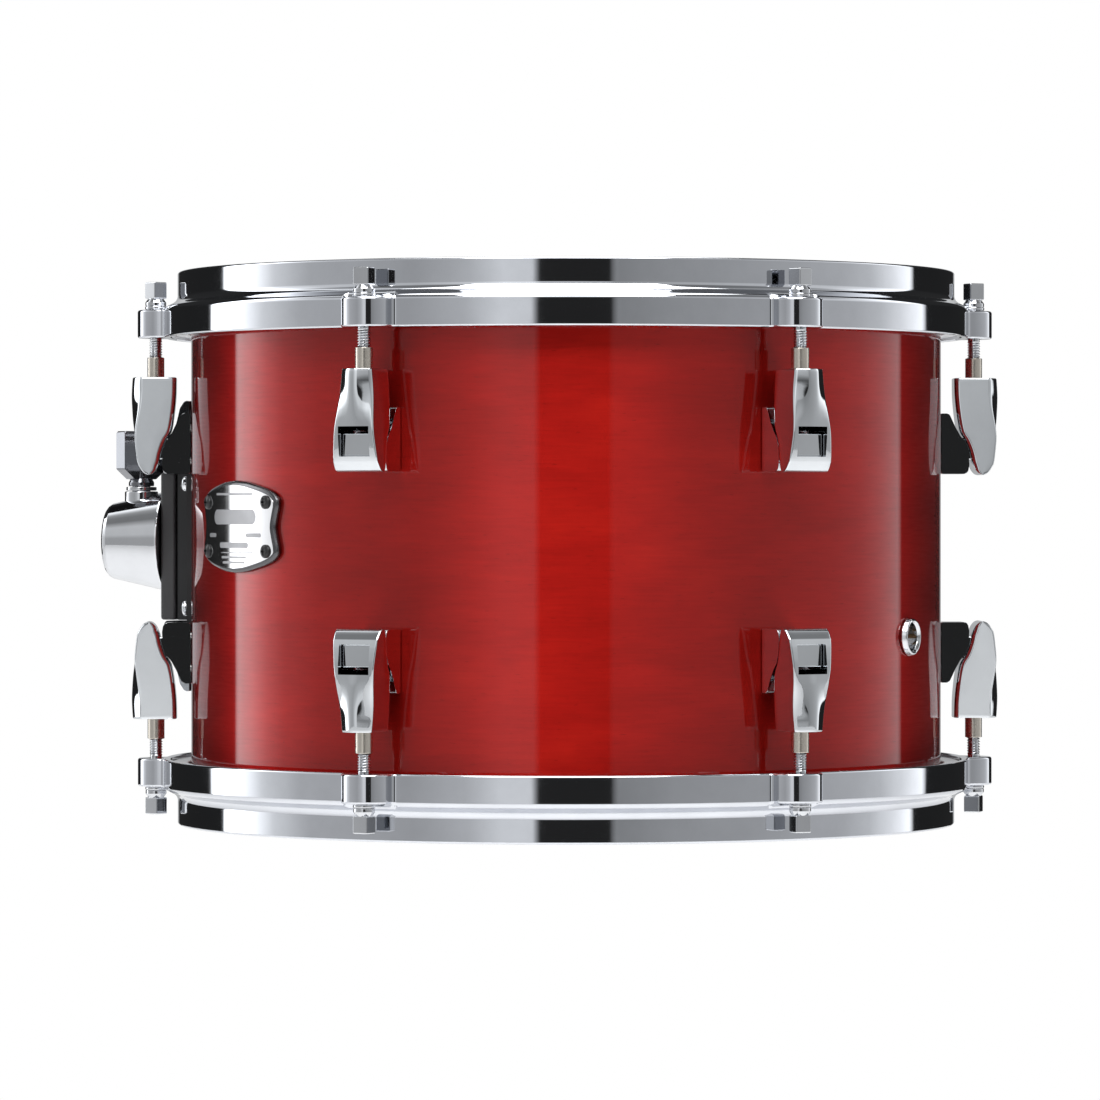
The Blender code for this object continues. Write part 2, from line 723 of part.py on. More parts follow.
def make_bracket():
    low = SHELL_RADIUS + GAP
    band = ring(low, low + MOUNT_PLATE, -70 * MM, 70 * MM, RING_SIDES)
    outline = front_outline(mount_plate_outline(), 130 * MM, 180 * MM)
    plate = combined(band, [outline], "INTERSECT")
    upper = mount_arm_mesh()
    lower = moved(upper.copy(), Matrix.Rotation(math.pi, 4, "X"))
    drills = [
        wall_hole(BOLT_SHANK + GAP, azimuth - MOUNT_AZIMUTH, z - MOUNT_Z)
        for azimuth, z in mount_bolt_places()
    ]
    whole = combined(plate, [upper, lower], "UNION")
    whole = combined(whole, [gathered(drills)], "DIFFERENCE")
    spot = (0, 0, MOUNT_Z)
    place("mount_bracket", whole, "chrome", location=spot, azimuth=MOUNT_AZIMUTH)


def make_isolator():
    """A rubber bar between the housings, bored for the end of the rod that holds the drum."""
    half = ISOLATOR_HALF_LENGTH
    width = MOUNT_HOUSING_HALF_WIDTH
    bar = box((150 * MM, -width, -half), (ISOLATOR_FACE, width, half))
    seat = rod(SHELL_RADIUS + MOUNT_PLATE + 2 * GAP, -40 * MM, 40 * MM, RING_SIDES)
    bore = moved(rod(RECEIVER_SOCKET, 140 * MM, 180 * MM, 12), OUTWARDS)
    bore = moved(bore, Matrix.Translation((0, 0, RECEIVER_Z - MOUNT_Z)))
    bar = combined(bar, [seat, bore], "DIFFERENCE")
    spot = (0, 0, MOUNT_Z)
    place("mount_isolator", bar, "rubber", location=spot, azimuth=MOUNT_AZIMUTH)


def make_receiver():
    """A tapered barrel, open at both ends, with a boss for the clamp screw on top.

    The boss and the shoe's pocket start at heights above the barrel's axis.
    """
    base = ISOLATOR_FACE + GAP
    barrel = turned(
        [
            (RECEIVER_SOCKET + RECEIVER_LIP, RECEIVER_MOUTH),
            (RECEIVER_FRONT - 1.7 * MM, RECEIVER_MOUTH - 0.5 * MM),
            (RECEIVER_FRONT, RECEIVER_MOUTH - 2.4 * MM),
            (RECEIVER_BASE, base),
            (RECEIVER_SOCKET, base),
            (RECEIVER_SOCKET, RECEIVER_MOUTH),
        ],
        24,
    )
    barrel = moved(barrel, OUTWARDS)
    boss_top = CLAMP_BOSS_TOP - RECEIVER_Z
    boss = rod(RECEIVER_BOSS, BOSS_FOOT, boss_top, 16)
    drill = rod(CLAMP_THREAD + GAP, POCKET_FOOT, boss_top + 5 * MM, 12)
    axis = Matrix.Translation((CLAMP_RADIUS, 0, 0))
    pocket_half = SHOE_HALF_WIDTH + GAP
    pocket_top = SHOE_BOTTOM + SHOE_HEIGHT + CLAMP_TRAVEL + GAP - RECEIVER_Z
    pocket = box((-pocket_half, -pocket_half, POCKET_FOOT), (pocket_half, pocket_half, pocket_top))
    whole = combined(barrel, [moved(boss, axis)], "UNION")
    whole = combined(whole, [moved(drill, axis), moved(pocket, axis)], "DIFFERENCE")
    spot = (0, 0, RECEIVER_Z)
    place("mount_receiver", whole, "chrome", location=spot, azimuth=MOUNT_AZIMUTH)


def make_clamp():
    """The screw's origin and the shoe's are on the clamp's vertical axis."""
    x = CLAMP_RADIUS * math.cos(MOUNT_AZIMUTH)
    y = CLAMP_RADIUS * math.sin(MOUNT_AZIMUTH)
    half = SHOE_HALF_WIDTH
    shoe = box((-half, -half, 0), (half, half, SHOE_HEIGHT))
    place("clamp_shoe", shoe, "steel", location=(x, y, SHOE_BOTTOM), azimuth=MOUNT_AZIMUTH)
    washer_bottom = CLAMP_BOSS_TOP + GAP
    washer_top = washer_bottom + CLAMP_WASHER_THICKNESS
    washer = ring(CLAMP_THREAD + GAP, CLAMP_WASHER, washer_bottom, washer_top, 16)
    place("clamp_washer", washer, "steel", location=(x, y, 0))
    collar_bottom = washer_top + GAP
    neck_top = WING_BOTTOM + NECK_OVERLAP
    tip = SHOE_BOTTOM + SHOE_HEIGHT + GAP
    stem = turned(
        [
            (0, neck_top),
            (CLAMP_NECK, neck_top),
            (CLAMP_COLLAR, collar_bottom + CLAMP_COLLAR_HEIGHT),
            (CLAMP_COLLAR, collar_bottom),
            (CLAMP_THREAD, collar_bottom),
            (CLAMP_THREAD, tip),
            (0, tip),
        ],
        12,
    )
    wing_points = [
        (-WING_HALF_WIDTH, WING_TOP),
        (-WING_HALF_WIDTH, WING_BOTTOM + WING_TAPER),
        (-WING_ROOT_HALF_WIDTH, WING_BOTTOM),
        (WING_ROOT_HALF_WIDTH, WING_BOTTOM),
        (WING_HALF_WIDTH, WING_BOTTOM + WING_TAPER),
        (WING_HALF_WIDTH, WING_TOP),
    ]
    wing = side_outline(wing_points, WING_THICKNESS / 2)
    screw = combined(stem, [wing], "UNION")
    place("clamp_screw", screw, "chrome", location=(x, y, 0), azimuth=WING_AZIMUTH)


def make_mount_bolts():
    """Four bolts through the plate and the shell, each joined to its nut inside."""
    seat = SHELL_RADIUS + MOUNT_PLATE + 2 * GAP
    nut_end = WALL_SEAT - MOUNT_NUT_HEIGHT
    bolt = turned(
        [
            (0, seat + MOUNT_BOLT_HEAD_HEIGHT),
            (MOUNT_BOLT_CROWN, seat + MOUNT_BOLT_HEAD_HEIGHT),
            (MOUNT_BOLT_HEAD, seat + 0.6 * MOUNT_BOLT_HEAD_HEIGHT),
            (MOUNT_BOLT_HEAD, seat),
            (BOLT_SHANK, seat),
            (BOLT_SHANK, WALL_SEAT),
            (MOUNT_NUT, WALL_SEAT),
            (MOUNT_NUT, nut_end),
            (0, nut_end),
        ],
        8,
    )
    bolt = moved(bolt, OUTWARDS)
    for number, (azimuth, z) in enumerate(mount_bolt_places(), 1):
        place(f"mount_bolt_{number}", bolt, "steel", None, (0, 0, z), azimuth)


def add_side_empty(name, z, turn_over):
    empty = bpy.data.objects.new(name, None)
    empty.location = (0, 0, z)
    empty.rotation_euler = (turn_over, 0, 0)
    DRUM.objects.link(empty)
    return empty


clear_scene()
DRUM = new_collection("tom_tom_drum")
CUTTERS = new_collection("cutters")
MATERIALS = make_materials()
MESHES = {
    "hoop": drilled_hoop_mesh(),
    "rod": rod_mesh(),
    "lug": lug_mesh(),
    "lug_base": lug_base_mesh(),
}
make_shell()
make_vent()
make_badge()
make_side("batter", add_side_empty("batter_side", 0, 0), 1)
make_side("resonant", add_side_empty("resonant_side", RESONANT_FACE, math.pi), -1)
make_bracket()
make_isolator()
make_receiver()
make_clamp()
make_mount_bolts()
bpy.context.view_layer.update()
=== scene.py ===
"""Tom tom drum: detailed pieces, materials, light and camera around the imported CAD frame.

Metres, +Z up, in the frame of the CAD. A piece is shaped at azimuth 0, where +X points out of
the drum, +Y runs along its wall and +Z is up, and is then turned about Z to its place.
Hardware of one head is shaped for the batter side, with Z counted from that head's face.
"""

import math

import bmesh
import bpy
from mathutils import Matrix, Vector


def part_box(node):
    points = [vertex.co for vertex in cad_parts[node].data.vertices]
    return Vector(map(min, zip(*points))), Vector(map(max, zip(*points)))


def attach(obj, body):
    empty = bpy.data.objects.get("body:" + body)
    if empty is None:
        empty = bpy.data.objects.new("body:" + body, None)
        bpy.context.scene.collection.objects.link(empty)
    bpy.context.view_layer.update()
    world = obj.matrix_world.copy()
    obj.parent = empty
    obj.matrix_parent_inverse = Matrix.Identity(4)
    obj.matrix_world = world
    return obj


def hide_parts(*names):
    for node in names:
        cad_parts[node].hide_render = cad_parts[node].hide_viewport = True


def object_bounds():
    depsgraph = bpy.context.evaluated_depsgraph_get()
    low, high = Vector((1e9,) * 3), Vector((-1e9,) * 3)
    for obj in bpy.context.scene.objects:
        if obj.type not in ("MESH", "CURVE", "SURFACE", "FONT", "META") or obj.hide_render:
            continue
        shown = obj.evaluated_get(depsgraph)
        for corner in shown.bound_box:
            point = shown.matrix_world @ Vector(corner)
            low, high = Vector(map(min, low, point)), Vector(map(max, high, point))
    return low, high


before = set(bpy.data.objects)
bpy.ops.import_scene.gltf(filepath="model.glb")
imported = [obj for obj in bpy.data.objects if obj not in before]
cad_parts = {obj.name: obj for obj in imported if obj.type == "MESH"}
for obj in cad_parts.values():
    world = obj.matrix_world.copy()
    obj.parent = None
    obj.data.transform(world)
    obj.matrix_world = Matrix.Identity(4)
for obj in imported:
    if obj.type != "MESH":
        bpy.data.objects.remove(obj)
CAD_BOX = [list(corner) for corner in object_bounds()]

MM = 0.001
SIDES = ("batter", "resonant")
LUG_COUNT = 6

# Places taken from the CAD frame
RESONANT_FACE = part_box("resonant_head_film")[0][2]
SHELL_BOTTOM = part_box("shell")[0][2]
SHELL_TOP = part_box("shell")[1][2]
FLOOR_DROP = 0.62
FLOOR_RADIUS = 4.2

# Shell and heads
SHELL_RADIUS = 151.0 * MM
SHELL_INSIDE = 145.4 * MM
EDGE_CREST = 148.3 * MM
FLESH_TOP = -7.8 * MM
FLESH_BOTTOM = -16.3 * MM
FLESH_OUTER = 159.0 * MM
FILM_RADIUS = 151.9 * MM

# Cast hoops
HOOP_RISE = 8.5 * MM
HOOP_BOTTOM = -17.8 * MM
RIM_OUTER = 156.4 * MM
RIM_INNER = 152.6 * MM
RIM_EDGE = 0.9 * MM
BAND_RADIUS = 162.0 * MM
BAND_INNER = 159.4 * MM
EAR_NOSE = 162.0 * MM
EAR_HALF_WIDTH = 10.5 * MM
EAR_FILLET = 1.8 * MM
EAR_TOP = -6.5 * MM

# Tension rods
ROD_CIRCLE = 165.2 * MM
THREAD_PITCH = 1.058 * MM
THREAD_OUTER = 2.62 * MM
THREAD_ROOT = 2.12 * MM
SHANK_RADIUS = 2.35 * MM
ROD_END = -47.0 * MM
ROD_TURNS = (4, 9, 22, 35, 64, 41)

# Lugs
LUG_TOP = -33.5 * MM
LUG_LENGTH = 39.2 * MM
LUG_TOP_HALF_WIDTH = 6.4 * MM
LUG_BOTTOM_HALF_WIDTH = 10.0 * MM
WINDOW_HALF_WIDTH = 6.6 * MM
WINDOW_TOP = 21.9 * MM
WINDOW_BOTTOM = 33.3 * MM
LUG_SCREW_DEPTHS = (20.5 * MM, 33.5 * MM)

# Badge, vent and side mount
BADGE_AZIMUTH = math.radians(210)
BADGE_Z = -93.4 * MM
VENT_AZIMUTH = math.radians(330)
VENT_Z = -136.5 * MM
MOUNT_AZIMUTH = math.radians(167)
MOUNT_Z = -101.5 * MM
RECEIVER_Z = -99.5 * MM
CLAMP_RADIUS = 176.8 * MM
WING_AZIMUTH = math.radians(213)
BOLT_ANGLE = math.radians(6.6)
BOLT_RISE = 25.0 * MM

# The direction of the camera from the drum, as an azimuth
CAMERA_AZIMUTH = math.radians(267.5)
CAMERA_DISTANCE = 2.27
CAMERA_HEIGHT = -88.0 * MM
AIM_HEIGHT = -103.0 * MM
AIM_LEFT = 6.45 * MM
LENS = 184.0

OUTWARDS = Matrix.Rotation(math.pi / 2, 4, "Y")


# ---------------------------------------------------------------- mesh code


def outline_vectors(points):
    return [Vector(point[:2]) for point in points]


def rounded(points, radius, steps=4, closed=True):
    """A 2D outline whose corners are arcs. A point may carry its own radius as a third number."""
    result = []
    places = outline_vectors(points)
    for i, (point, place) in enumerate(zip(points, places)):
        size = point[2] if len(point) > 2 else radius
        before = places[i - 1] - place
        after = places[(i + 1) % len(places)] - place
        ends = not closed and i in (0, len(places) - 1)
        half = math.pi / 2 if ends else before.angle(after) / 2
        if size <= 0 or half > math.radians(88):
            result.append(place)
            continue
        cut = min(size / math.tan(half), 0.48 * before.length, 0.48 * after.length)
        size = cut * math.tan(half)
        before.normalize()
        after.normalize()
        middle = place + (before + after).normalized() * (size / math.sin(half))
        start = place + before * cut - middle
        end = place + after * cut - middle
        first = math.atan2(start.y, start.x)
        sweep = (math.atan2(end.y, end.x) - first + math.pi) % (2 * math.pi) - math.pi
        for step in range(steps + 1):
            angle = first + sweep * step / steps
            result.append(middle + size * Vector((math.cos(angle), math.sin(angle))))
    return result


def smooth_line(points, counts):
    """A Catmull-Rom line through 2D points, with counts[i] steps from point i to the next."""
    places = outline_vectors(points)
    result = []
    for i, count in enumerate(counts):
        a, b = places[i], places[i + 1]
        before = places[i - 1] if i else 2 * a - b
        after = places[i + 2] if i + 2 < len(places) else 2 * b - a
        for step in range(count):
            t = step / count
            tangent_a = (b - before) / 2
            tangent_b = (after - a) / 2
            result.append(
                (2 * t**3 - 3 * t**2 + 1) * a
                + (t**3 - 2 * t**2 + t) * tangent_a
                + (3 * t**2 - 2 * t**3) * b
                + (t**3 - t**2) * tangent_b
            )
    return result + [places[-1]]


def to_mesh(edit, name="shape"):
    bmesh.ops.remove_doubles(edit, verts=edit.verts, dist=0.0005 * MM)
    bmesh.ops.recalc_face_normals(edit, faces=edit.faces)
    mesh = bpy.data.meshes.new(name)
    edit.to_mesh(mesh)
    edit.free()
    return mesh


def moved(mesh, matrix):
    mesh.transform(matrix)
    return mesh


def turned(profile, sides=64):
    """A profile of (radius, height) turned about Z. It is closed unless it starts on the axis."""
    edit = bmesh.new()
    rings = []
    for radius, height in profile:
        if radius < 0.001 * MM:
            rings.append([edit.verts.new((0, 0, height))] * sides)
            continue
        ring = []
        for side in range(sides):
            angle = 2 * math.pi * side / sides
            ring.append(edit.verts.new((radius * math.cos(angle), radius * math.sin(angle), height)))
        rings.append(ring)
    following = rings[1:] if profile[0][0] < 0.001 * MM else rings[1:] + rings[:1]
    for low, high in zip(rings, following):
        for side in range(sides):
            corners = dict.fromkeys((low[side - 1], low[side], high[side], high[side - 1]))
            if len(corners) > 2:
                edit.faces.new(list(corners))
    return to_mesh(edit)


def ring(inner, outer, low, high, edge=0.25 * MM, sides=64):
    corners = [(outer, high), (outer, low), (inner, low), (inner, high)]
    return turned(rounded(corners, edge, 3), sides)


def disc(radius, low, high, edge=0.25 * MM, sides=48):
    corners = [(0, high, 0), (radius, high), (radius, low), (0, low, 0)]
    return turned(rounded(corners, edge, 3), sides)


def prism(outline, low, high, edge=0.4 * MM, steps=3):
    """A 2D outline extruded along Z, with its two rims rounded."""
    edit = bmesh.new()
    count = len(outline)
    bottom = [edit.verts.new((x, y, low)) for x, y in outline]
    top = [edit.verts.new((x, y, high)) for x, y in outline]
    edit.faces.new(bottom)
    edit.faces.new(top)
    for i in range(count):
        edit.faces.new((bottom[i - 1], bottom[i], top[i], top[i - 1]))
    if edge > 0:
        rims = [e for e in edit.edges if abs(e.verts[0].co.z - e.verts[1].co.z) < 1e-9]
        bmesh.ops.bevel(
            edit,
            geom=rims,
            offset=edge,
            segments=steps,
            profile=0.5,
            affect="EDGES",
            clamp_overlap=True,
        )
    return to_mesh(edit)


def side_prism(outline, half_width, edge=0.4 * MM):
    """An outline of (radius, height), extruded along the drum's wall."""
    return moved(prism(outline, -half_width, half_width, edge), Matrix.Rotation(math.pi / 2, 4, "X"))


def front_prism(outline, low_radius, high_radius, edge=0.4 * MM):
    """An outline of (distance along the wall, height), extruded out of the drum."""
    turn = Matrix(((0, 0, 1, 0), (1, 0, 0, 0), (0, 1, 0, 0), (0, 0, 0, 1)))
    return moved(prism(outline, low_radius, high_radius, edge), turn)


def block(low, high, edge=0.4 * MM):
    outline = [(low[0], low[1]), (high[0], low[1]), (high[0], high[1]), (low[0], high[1])]
    return prism(rounded(outline, edge, 3), low[2], high[2], edge)


def loose(mesh):
    obj = bpy.data.objects.new("workpiece", mesh)
    bpy.context.scene.collection.objects.link(obj)
    return obj


def combined(mesh, others, operation="DIFFERENCE"):
    """Boolean of a mesh with other meshes, one after another."""
    obj = loose(mesh)
    tools = []
    for other in others:
        tools.append(loose(other))
        boolean = obj.modifiers.new("boolean", "BOOLEAN")
        boolean.operation = operation
        boolean.object = tools[-1]
        boolean.solver = "EXACT"
    bpy.context.view_layer.update()
    evaluated = obj.evaluated_get(bpy.context.evaluated_depsgraph_get())
    result = bpy.data.meshes.new_from_object(evaluated)
    for used in [obj, *tools]:
        bpy.data.objects.remove(used)
    return result


def gathered(meshes):
    """One mesh that holds every given mesh as a separate body."""
    edit = bmesh.new()
    for mesh in meshes:
        edit.from_mesh(mesh)
    group = bpy.data.meshes.new("group")
    edit.to_mesh(group)
    edit.free()
    return group


def copied(mesh, matrices):
    return gathered([moved(mesh.copy(), matrix) for matrix in matrices])


def around(azimuth, height=0.0):
    return Matrix.Translation((0, 0, height)) @ Matrix.Rotation(azimuth, 4, "Z")


def shifted(x=0.0, y=0.0, z=0.0):
    return Matrix.Translation((x, y, z))


def bent(mesh, radius):
    """Wrap a mesh, drawn flat as (height off the wall, distance along it, rise), on the wall."""
    for vertex in mesh.vertices:
        angle = vertex.co.y / radius
        reach = radius + vertex.co.x
        vertex.co.x = reach * math.cos(angle)
        vertex.co.y = reach * math.sin(angle)
    return mesh


def sliced(mesh, spacing, reach):
    """Cut a mesh by upright planes along Y, so that it can bend smoothly."""
    edit = bmesh.new()
    edit.from_mesh(mesh)
    steps = int(reach / spacing)
    for step in range(-steps, steps + 1):
        bmesh.ops.bisect_plane(
            edit,
            geom=[*edit.verts, *edit.edges, *edit.faces],
            plane_co=(0, step * spacing, 0),
            plane_no=(0, 1, 0),
        )
    return to_mesh(edit)


# ---------------------------------------------------------------- node code


class Nodes:
    """A short way to write a node tree."""

    def __init__(self, tree):
        self.tree = tree

    def add(self, kind, inputs=None, **settings):
        node = self.tree.nodes.new(kind)
        for key, value in settings.items():
            setattr(node, key, value)
        for key, value in (inputs or {}).items():
            if isinstance(value, bpy.types.NodeSocket):
                self.tree.links.new(value, node.inputs[key])
            else:
                node.inputs[key].default_value = value
        return node

    def math(self, operation, *values):
        return self.add("ShaderNodeMath", dict(enumerate(values)), operation=operation).outputs[0]

    def vector(self, operation, *values):
        node = self.add("ShaderNodeVectorMath", dict(enumerate(values)), operation=operation)
        return node.outputs["Value" if operation in ("DOT_PRODUCT", "LENGTH") else "Vector"]

    def noise(self, vector, scale, detail=3.0, roughness=0.5, distortion=0.0):
        inputs = {
            "Vector": vector,
            "Scale": scale,
            "Detail": detail,
            "Roughness": roughness,
            "Distortion": distortion,
        }
        return self.add("ShaderNodeTexNoise", inputs).outputs[0]

    def remap(self, value, from_low, from_high, to_low=0.0, to_high=1.0):
        inputs = {0: value, 1: from_low, 2: from_high, 3: to_low, 4: to_high}
        return self.add("ShaderNodeMapRange", inputs, clamp=True).outputs[0]

    def ramp(self, value, stops, interpolation="LINEAR"):
        """stops are (position, grey or colour)."""
        node = self.add("ShaderNodeValToRGB", {0: value})
        elements = node.color_ramp.elements
        node.color_ramp.interpolation = interpolation
        while len(elements) < len(stops):
            elements.new(0.5)
        for element, (position, _) in zip(elements, stops):
            element.position = position
        for element, (_, colour) in zip(elements, stops):
            colour = (colour,) * 3 if isinstance(colour, (int, float)) else colour
            element.color = (*colour, 1.0)
        return node.outputs[0]

    def mix(self, share, a, b, blend="MIX"):
        node = self.add("ShaderNodeMix", {0: share}, data_type="RGBA", blend_type=blend)
        for socket, value in ((node.inputs[6], a), (node.inputs[7], b)):
            if isinstance(value, bpy.types.NodeSocket):
                self.tree.links.new(value, socket)
            else:
                socket.default_value = (*value, 1.0)
        return node.outputs[2]

    def bump(self, height, strength, distance):
        inputs = {"Height": height, "Strength": strength, "Distance": distance}
        return self.add("ShaderNodeBump", inputs).outputs[0]


def new_material(name, **sockets):
    material = bpy.data.materials.new(name)
    material.use_nodes = True
    shader = material.node_tree.nodes["Principled BSDF"]
    for key, value in sockets.items():
        value = (*value, 1.0) if isinstance(value, tuple) and len(value) == 3 else value
        shader.inputs[key.replace("_", " ")].default_value = value
    nodes = Nodes(material.node_tree)
    place = nodes.add("ShaderNodeTexCoord").outputs["Object"]

    def connect(**links):
        for key, socket in links.items():
            material.node_tree.links.new(socket, shader.inputs[key.replace("_", " ")])

    return material, nodes, place, connect


def on_wall(nodes, place):
    """(distance round the drum, height, radius) of a place, with its seam at the drum's back."""
    parts = nodes.add("ShaderNodeSeparateXYZ", {0: place}).outputs
    back = nodes.math("MULTIPLY", parts[1], -1.0)
    angle = nodes.math("ARCTAN2", parts[0], back)
    along = nodes.math("MULTIPLY", angle, SHELL_RADIUS)
    flat = nodes.add("ShaderNodeCombineXYZ", {0: parts[0], 1: parts[1]}).outputs[0]
    radius = nodes.vector("LENGTH", flat)
    return nodes.add("ShaderNodeCombineXYZ", {0: along, 1: parts[2], 2: radius}).outputs[0], radius


def stretched(nodes, vector, x, y, z=1.0):
    return nodes.vector("MULTIPLY", vector, (x, y, z))


def metal(name, colour, low, high, scratch=0.12):
    """Plated metal: faint smudges and hairlines change how sharp its reflections are."""
    material, nodes, place, connect = new_material(name, Metallic=1.0)
    smudge = nodes.noise(place, 55.0, 4.0, 0.6)
    hairline = nodes.noise(stretched(nodes, place, 2500.0, 2500.0, 60.0), 1.0, 2.0)
    worn = nodes.math("ADD", smudge, nodes.math("MULTIPLY", hairline, scratch))
    darker = tuple(0.93 * part for part in colour)
    connect(
        Base_Color=nodes.mix(nodes.remap(smudge, 0.35, 0.7), colour, darker),
        Roughness=nodes.remap(worn, 0.35, 0.85, low, high),
        Normal=nodes.bump(nodes.noise(place, 900.0, 2.0), 0.012, 0.02 * MM),
    )
    return material


def lacquered_wood():
    """Red stain on a maple veneer whose grain runs round the drum, under clear gloss lacquer."""
    material, nodes, place, connect = new_material(
        "lacquered_shell",
        Metallic=0.78,
        Anisotropic=0.85,
        Anisotropic_Rotation=0.25,
        Specular_IOR_Level=0.2,
        Specular_Tint=(0.6, 0.08, 0.08),
        Coat_Weight=1.0,
        Coat_Roughness=0.018,
        Coat_IOR=1.37,
    )
    wall, _ = on_wall(nodes, place)
    figure = nodes.noise(stretched(nodes, wall, 14.0, 38.0), 1.0, 3.0, 0.55, 0.4)
    grain = nodes.noise(stretched(nodes, wall, 65.0, 1100.0), 1.0, 4.0, 0.6, 0.25)
    fleck = nodes.noise(stretched(nodes, wall, 230.0, 1500.0), 1.0, 2.0, 0.5)
    stain = nodes.ramp(
        figure, [(0.25, (0.225, 0.006, 0.004)), (0.5, (0.285, 0.007, 0.005)), (0.75, (0.345, 0.010, 0.006))]
    )
    streaks = nodes.remap(grain, 0.3, 0.7, 0.0, 0.28)
    stain = nodes.mix(streaks, stain, (0.16, 0.004, 0.003))
    flecks = nodes.remap(fleck, 0.66, 0.76, 0.0, 0.45)
    stain = nodes.mix(flecks, stain, (0.10, 0.003, 0.002))
    tangent = nodes.add("ShaderNodeTangent", direction_type="RADIAL", axis="Z").outputs[0]
    connect(
        Base_Color=stain,
        Roughness=nodes.remap(grain, 0.2, 0.8, 0.42, 0.54),
        Tangent=tangent,
        Normal=nodes.bump(grain, 0.06, 0.05 * MM),
        Coat_Normal=nodes.bump(nodes.noise(wall, 60.0, 2.0), 0.02, 0.1 * MM),
    )
    return material


def bare_wood():
    """The shell's inside and bearing edges: clear maple, with its plies showing by radius."""
    material, nodes, place, connect = new_material(
        "bare_wood", Coat_Weight=0.25, Coat_Roughness=0.25
    )
    wall, radius = on_wall(nodes, place)
    grain = nodes.noise(stretched(nodes, wall, 40.0, 700.0), 1.0, 5.0, 0.6, 0.6)
    figure = nodes.noise(stretched(nodes, wall, 8.0, 22.0), 1.0, 3.0)
    wood = nodes.ramp(
        grain, [(0.25, (0.40, 0.235, 0.115)), (0.55, (0.56, 0.37, 0.20)), (0.8, (0.64, 0.45, 0.27))]
    )
    wood = nodes.mix(nodes.remap(figure, 0.3, 0.7, 0.0, 0.35), wood, (0.50, 0.31, 0.155))
    plies = nodes.math("SINE", nodes.math("MULTIPLY", radius, 2 * math.pi / (0.8 * MM)))
    glue = nodes.remap(plies, 0.82, 0.97, 0.0, 0.55)
    edge = nodes.math("GREATER_THAN", radius, SHELL_INSIDE + 0.1 * MM)
    wood = nodes.mix(nodes.math("MULTIPLY", glue, edge), wood, (0.24, 0.13, 0.06))
    connect(
        Base_Color=wood,
        Roughness=nodes.remap(grain, 0.2, 0.8, 0.5, 0.34),
        Normal=nodes.bump(grain, 0.25, 0.06 * MM),
    )
    return material


def coated_film():
    """White sprayed coating, with a fine grit and a little stick wear towards the middle."""
    material, nodes, place, connect = new_material("batter_film", Specular_IOR_Level=0.4)
    parts = nodes.add("ShaderNodeSeparateXYZ", {0: place}).outputs
    flat = nodes.add("ShaderNodeCombineXYZ", {0: parts[0], 1: parts[1]}).outputs[0]
    radius = nodes.vector("LENGTH", flat)
    grit = nodes.noise(place, 1600.0, 3.0, 0.65)
    cloud = nodes.noise(place, 30.0, 4.0, 0.6)
    wear = nodes.math("MULTIPLY", nodes.remap(radius, 0.095, 0.02), nodes.remap(cloud, 0.45, 0.7))
    white = nodes.mix(nodes.remap(cloud, 0.3, 0.7), (0.50, 0.50, 0.49), (0.46, 0.46, 0.45))
    connect(
        Base_Color=nodes.mix(nodes.math("MULTIPLY", wear, 0.35), white, (0.30, 0.30, 0.30)),
        Roughness=nodes.remap(grit, 0.3, 0.7, 0.62, 0.48),
        Normal=nodes.bump(grit, 0.35, 0.08 * MM),
    )
    return material


def clear_film():
    material, nodes, place, connect = new_material("resonant_film", Alpha=0.35, Base_Color=(0.80, 0.82, 0.84))
    haze = nodes.noise(place, 18.0, 3.0)
    ripple = nodes.noise(place, 9.0, 1.0)
    connect(
        Roughness=nodes.remap(haze, 0.3, 0.7, 0.06, 0.14),
        Normal=nodes.bump(ripple, 0.05, 1.0 * MM),
    )
    return material


def soft_black(name, colour, low, high, grain_scale, **sockets):
    """Rubber or black oxide: a fine grain, and paler where it is rubbed."""
    material, nodes, place, connect = new_material(name, **sockets)
    grain = nodes.noise(place, grain_scale, 3.0, 0.6)
    rub = nodes.noise(place, 70.0, 3.0)
    paler = tuple(1.7 * part for part in colour)
    connect(
        Base_Color=nodes.mix(nodes.remap(rub, 0.45, 0.75, 0.0, 0.6), colour, paler),
        Roughness=nodes.remap(grain, 0.3, 0.7, low, high),
        Normal=nodes.bump(grain, 0.15, 0.05 * MM),
    )
    return material


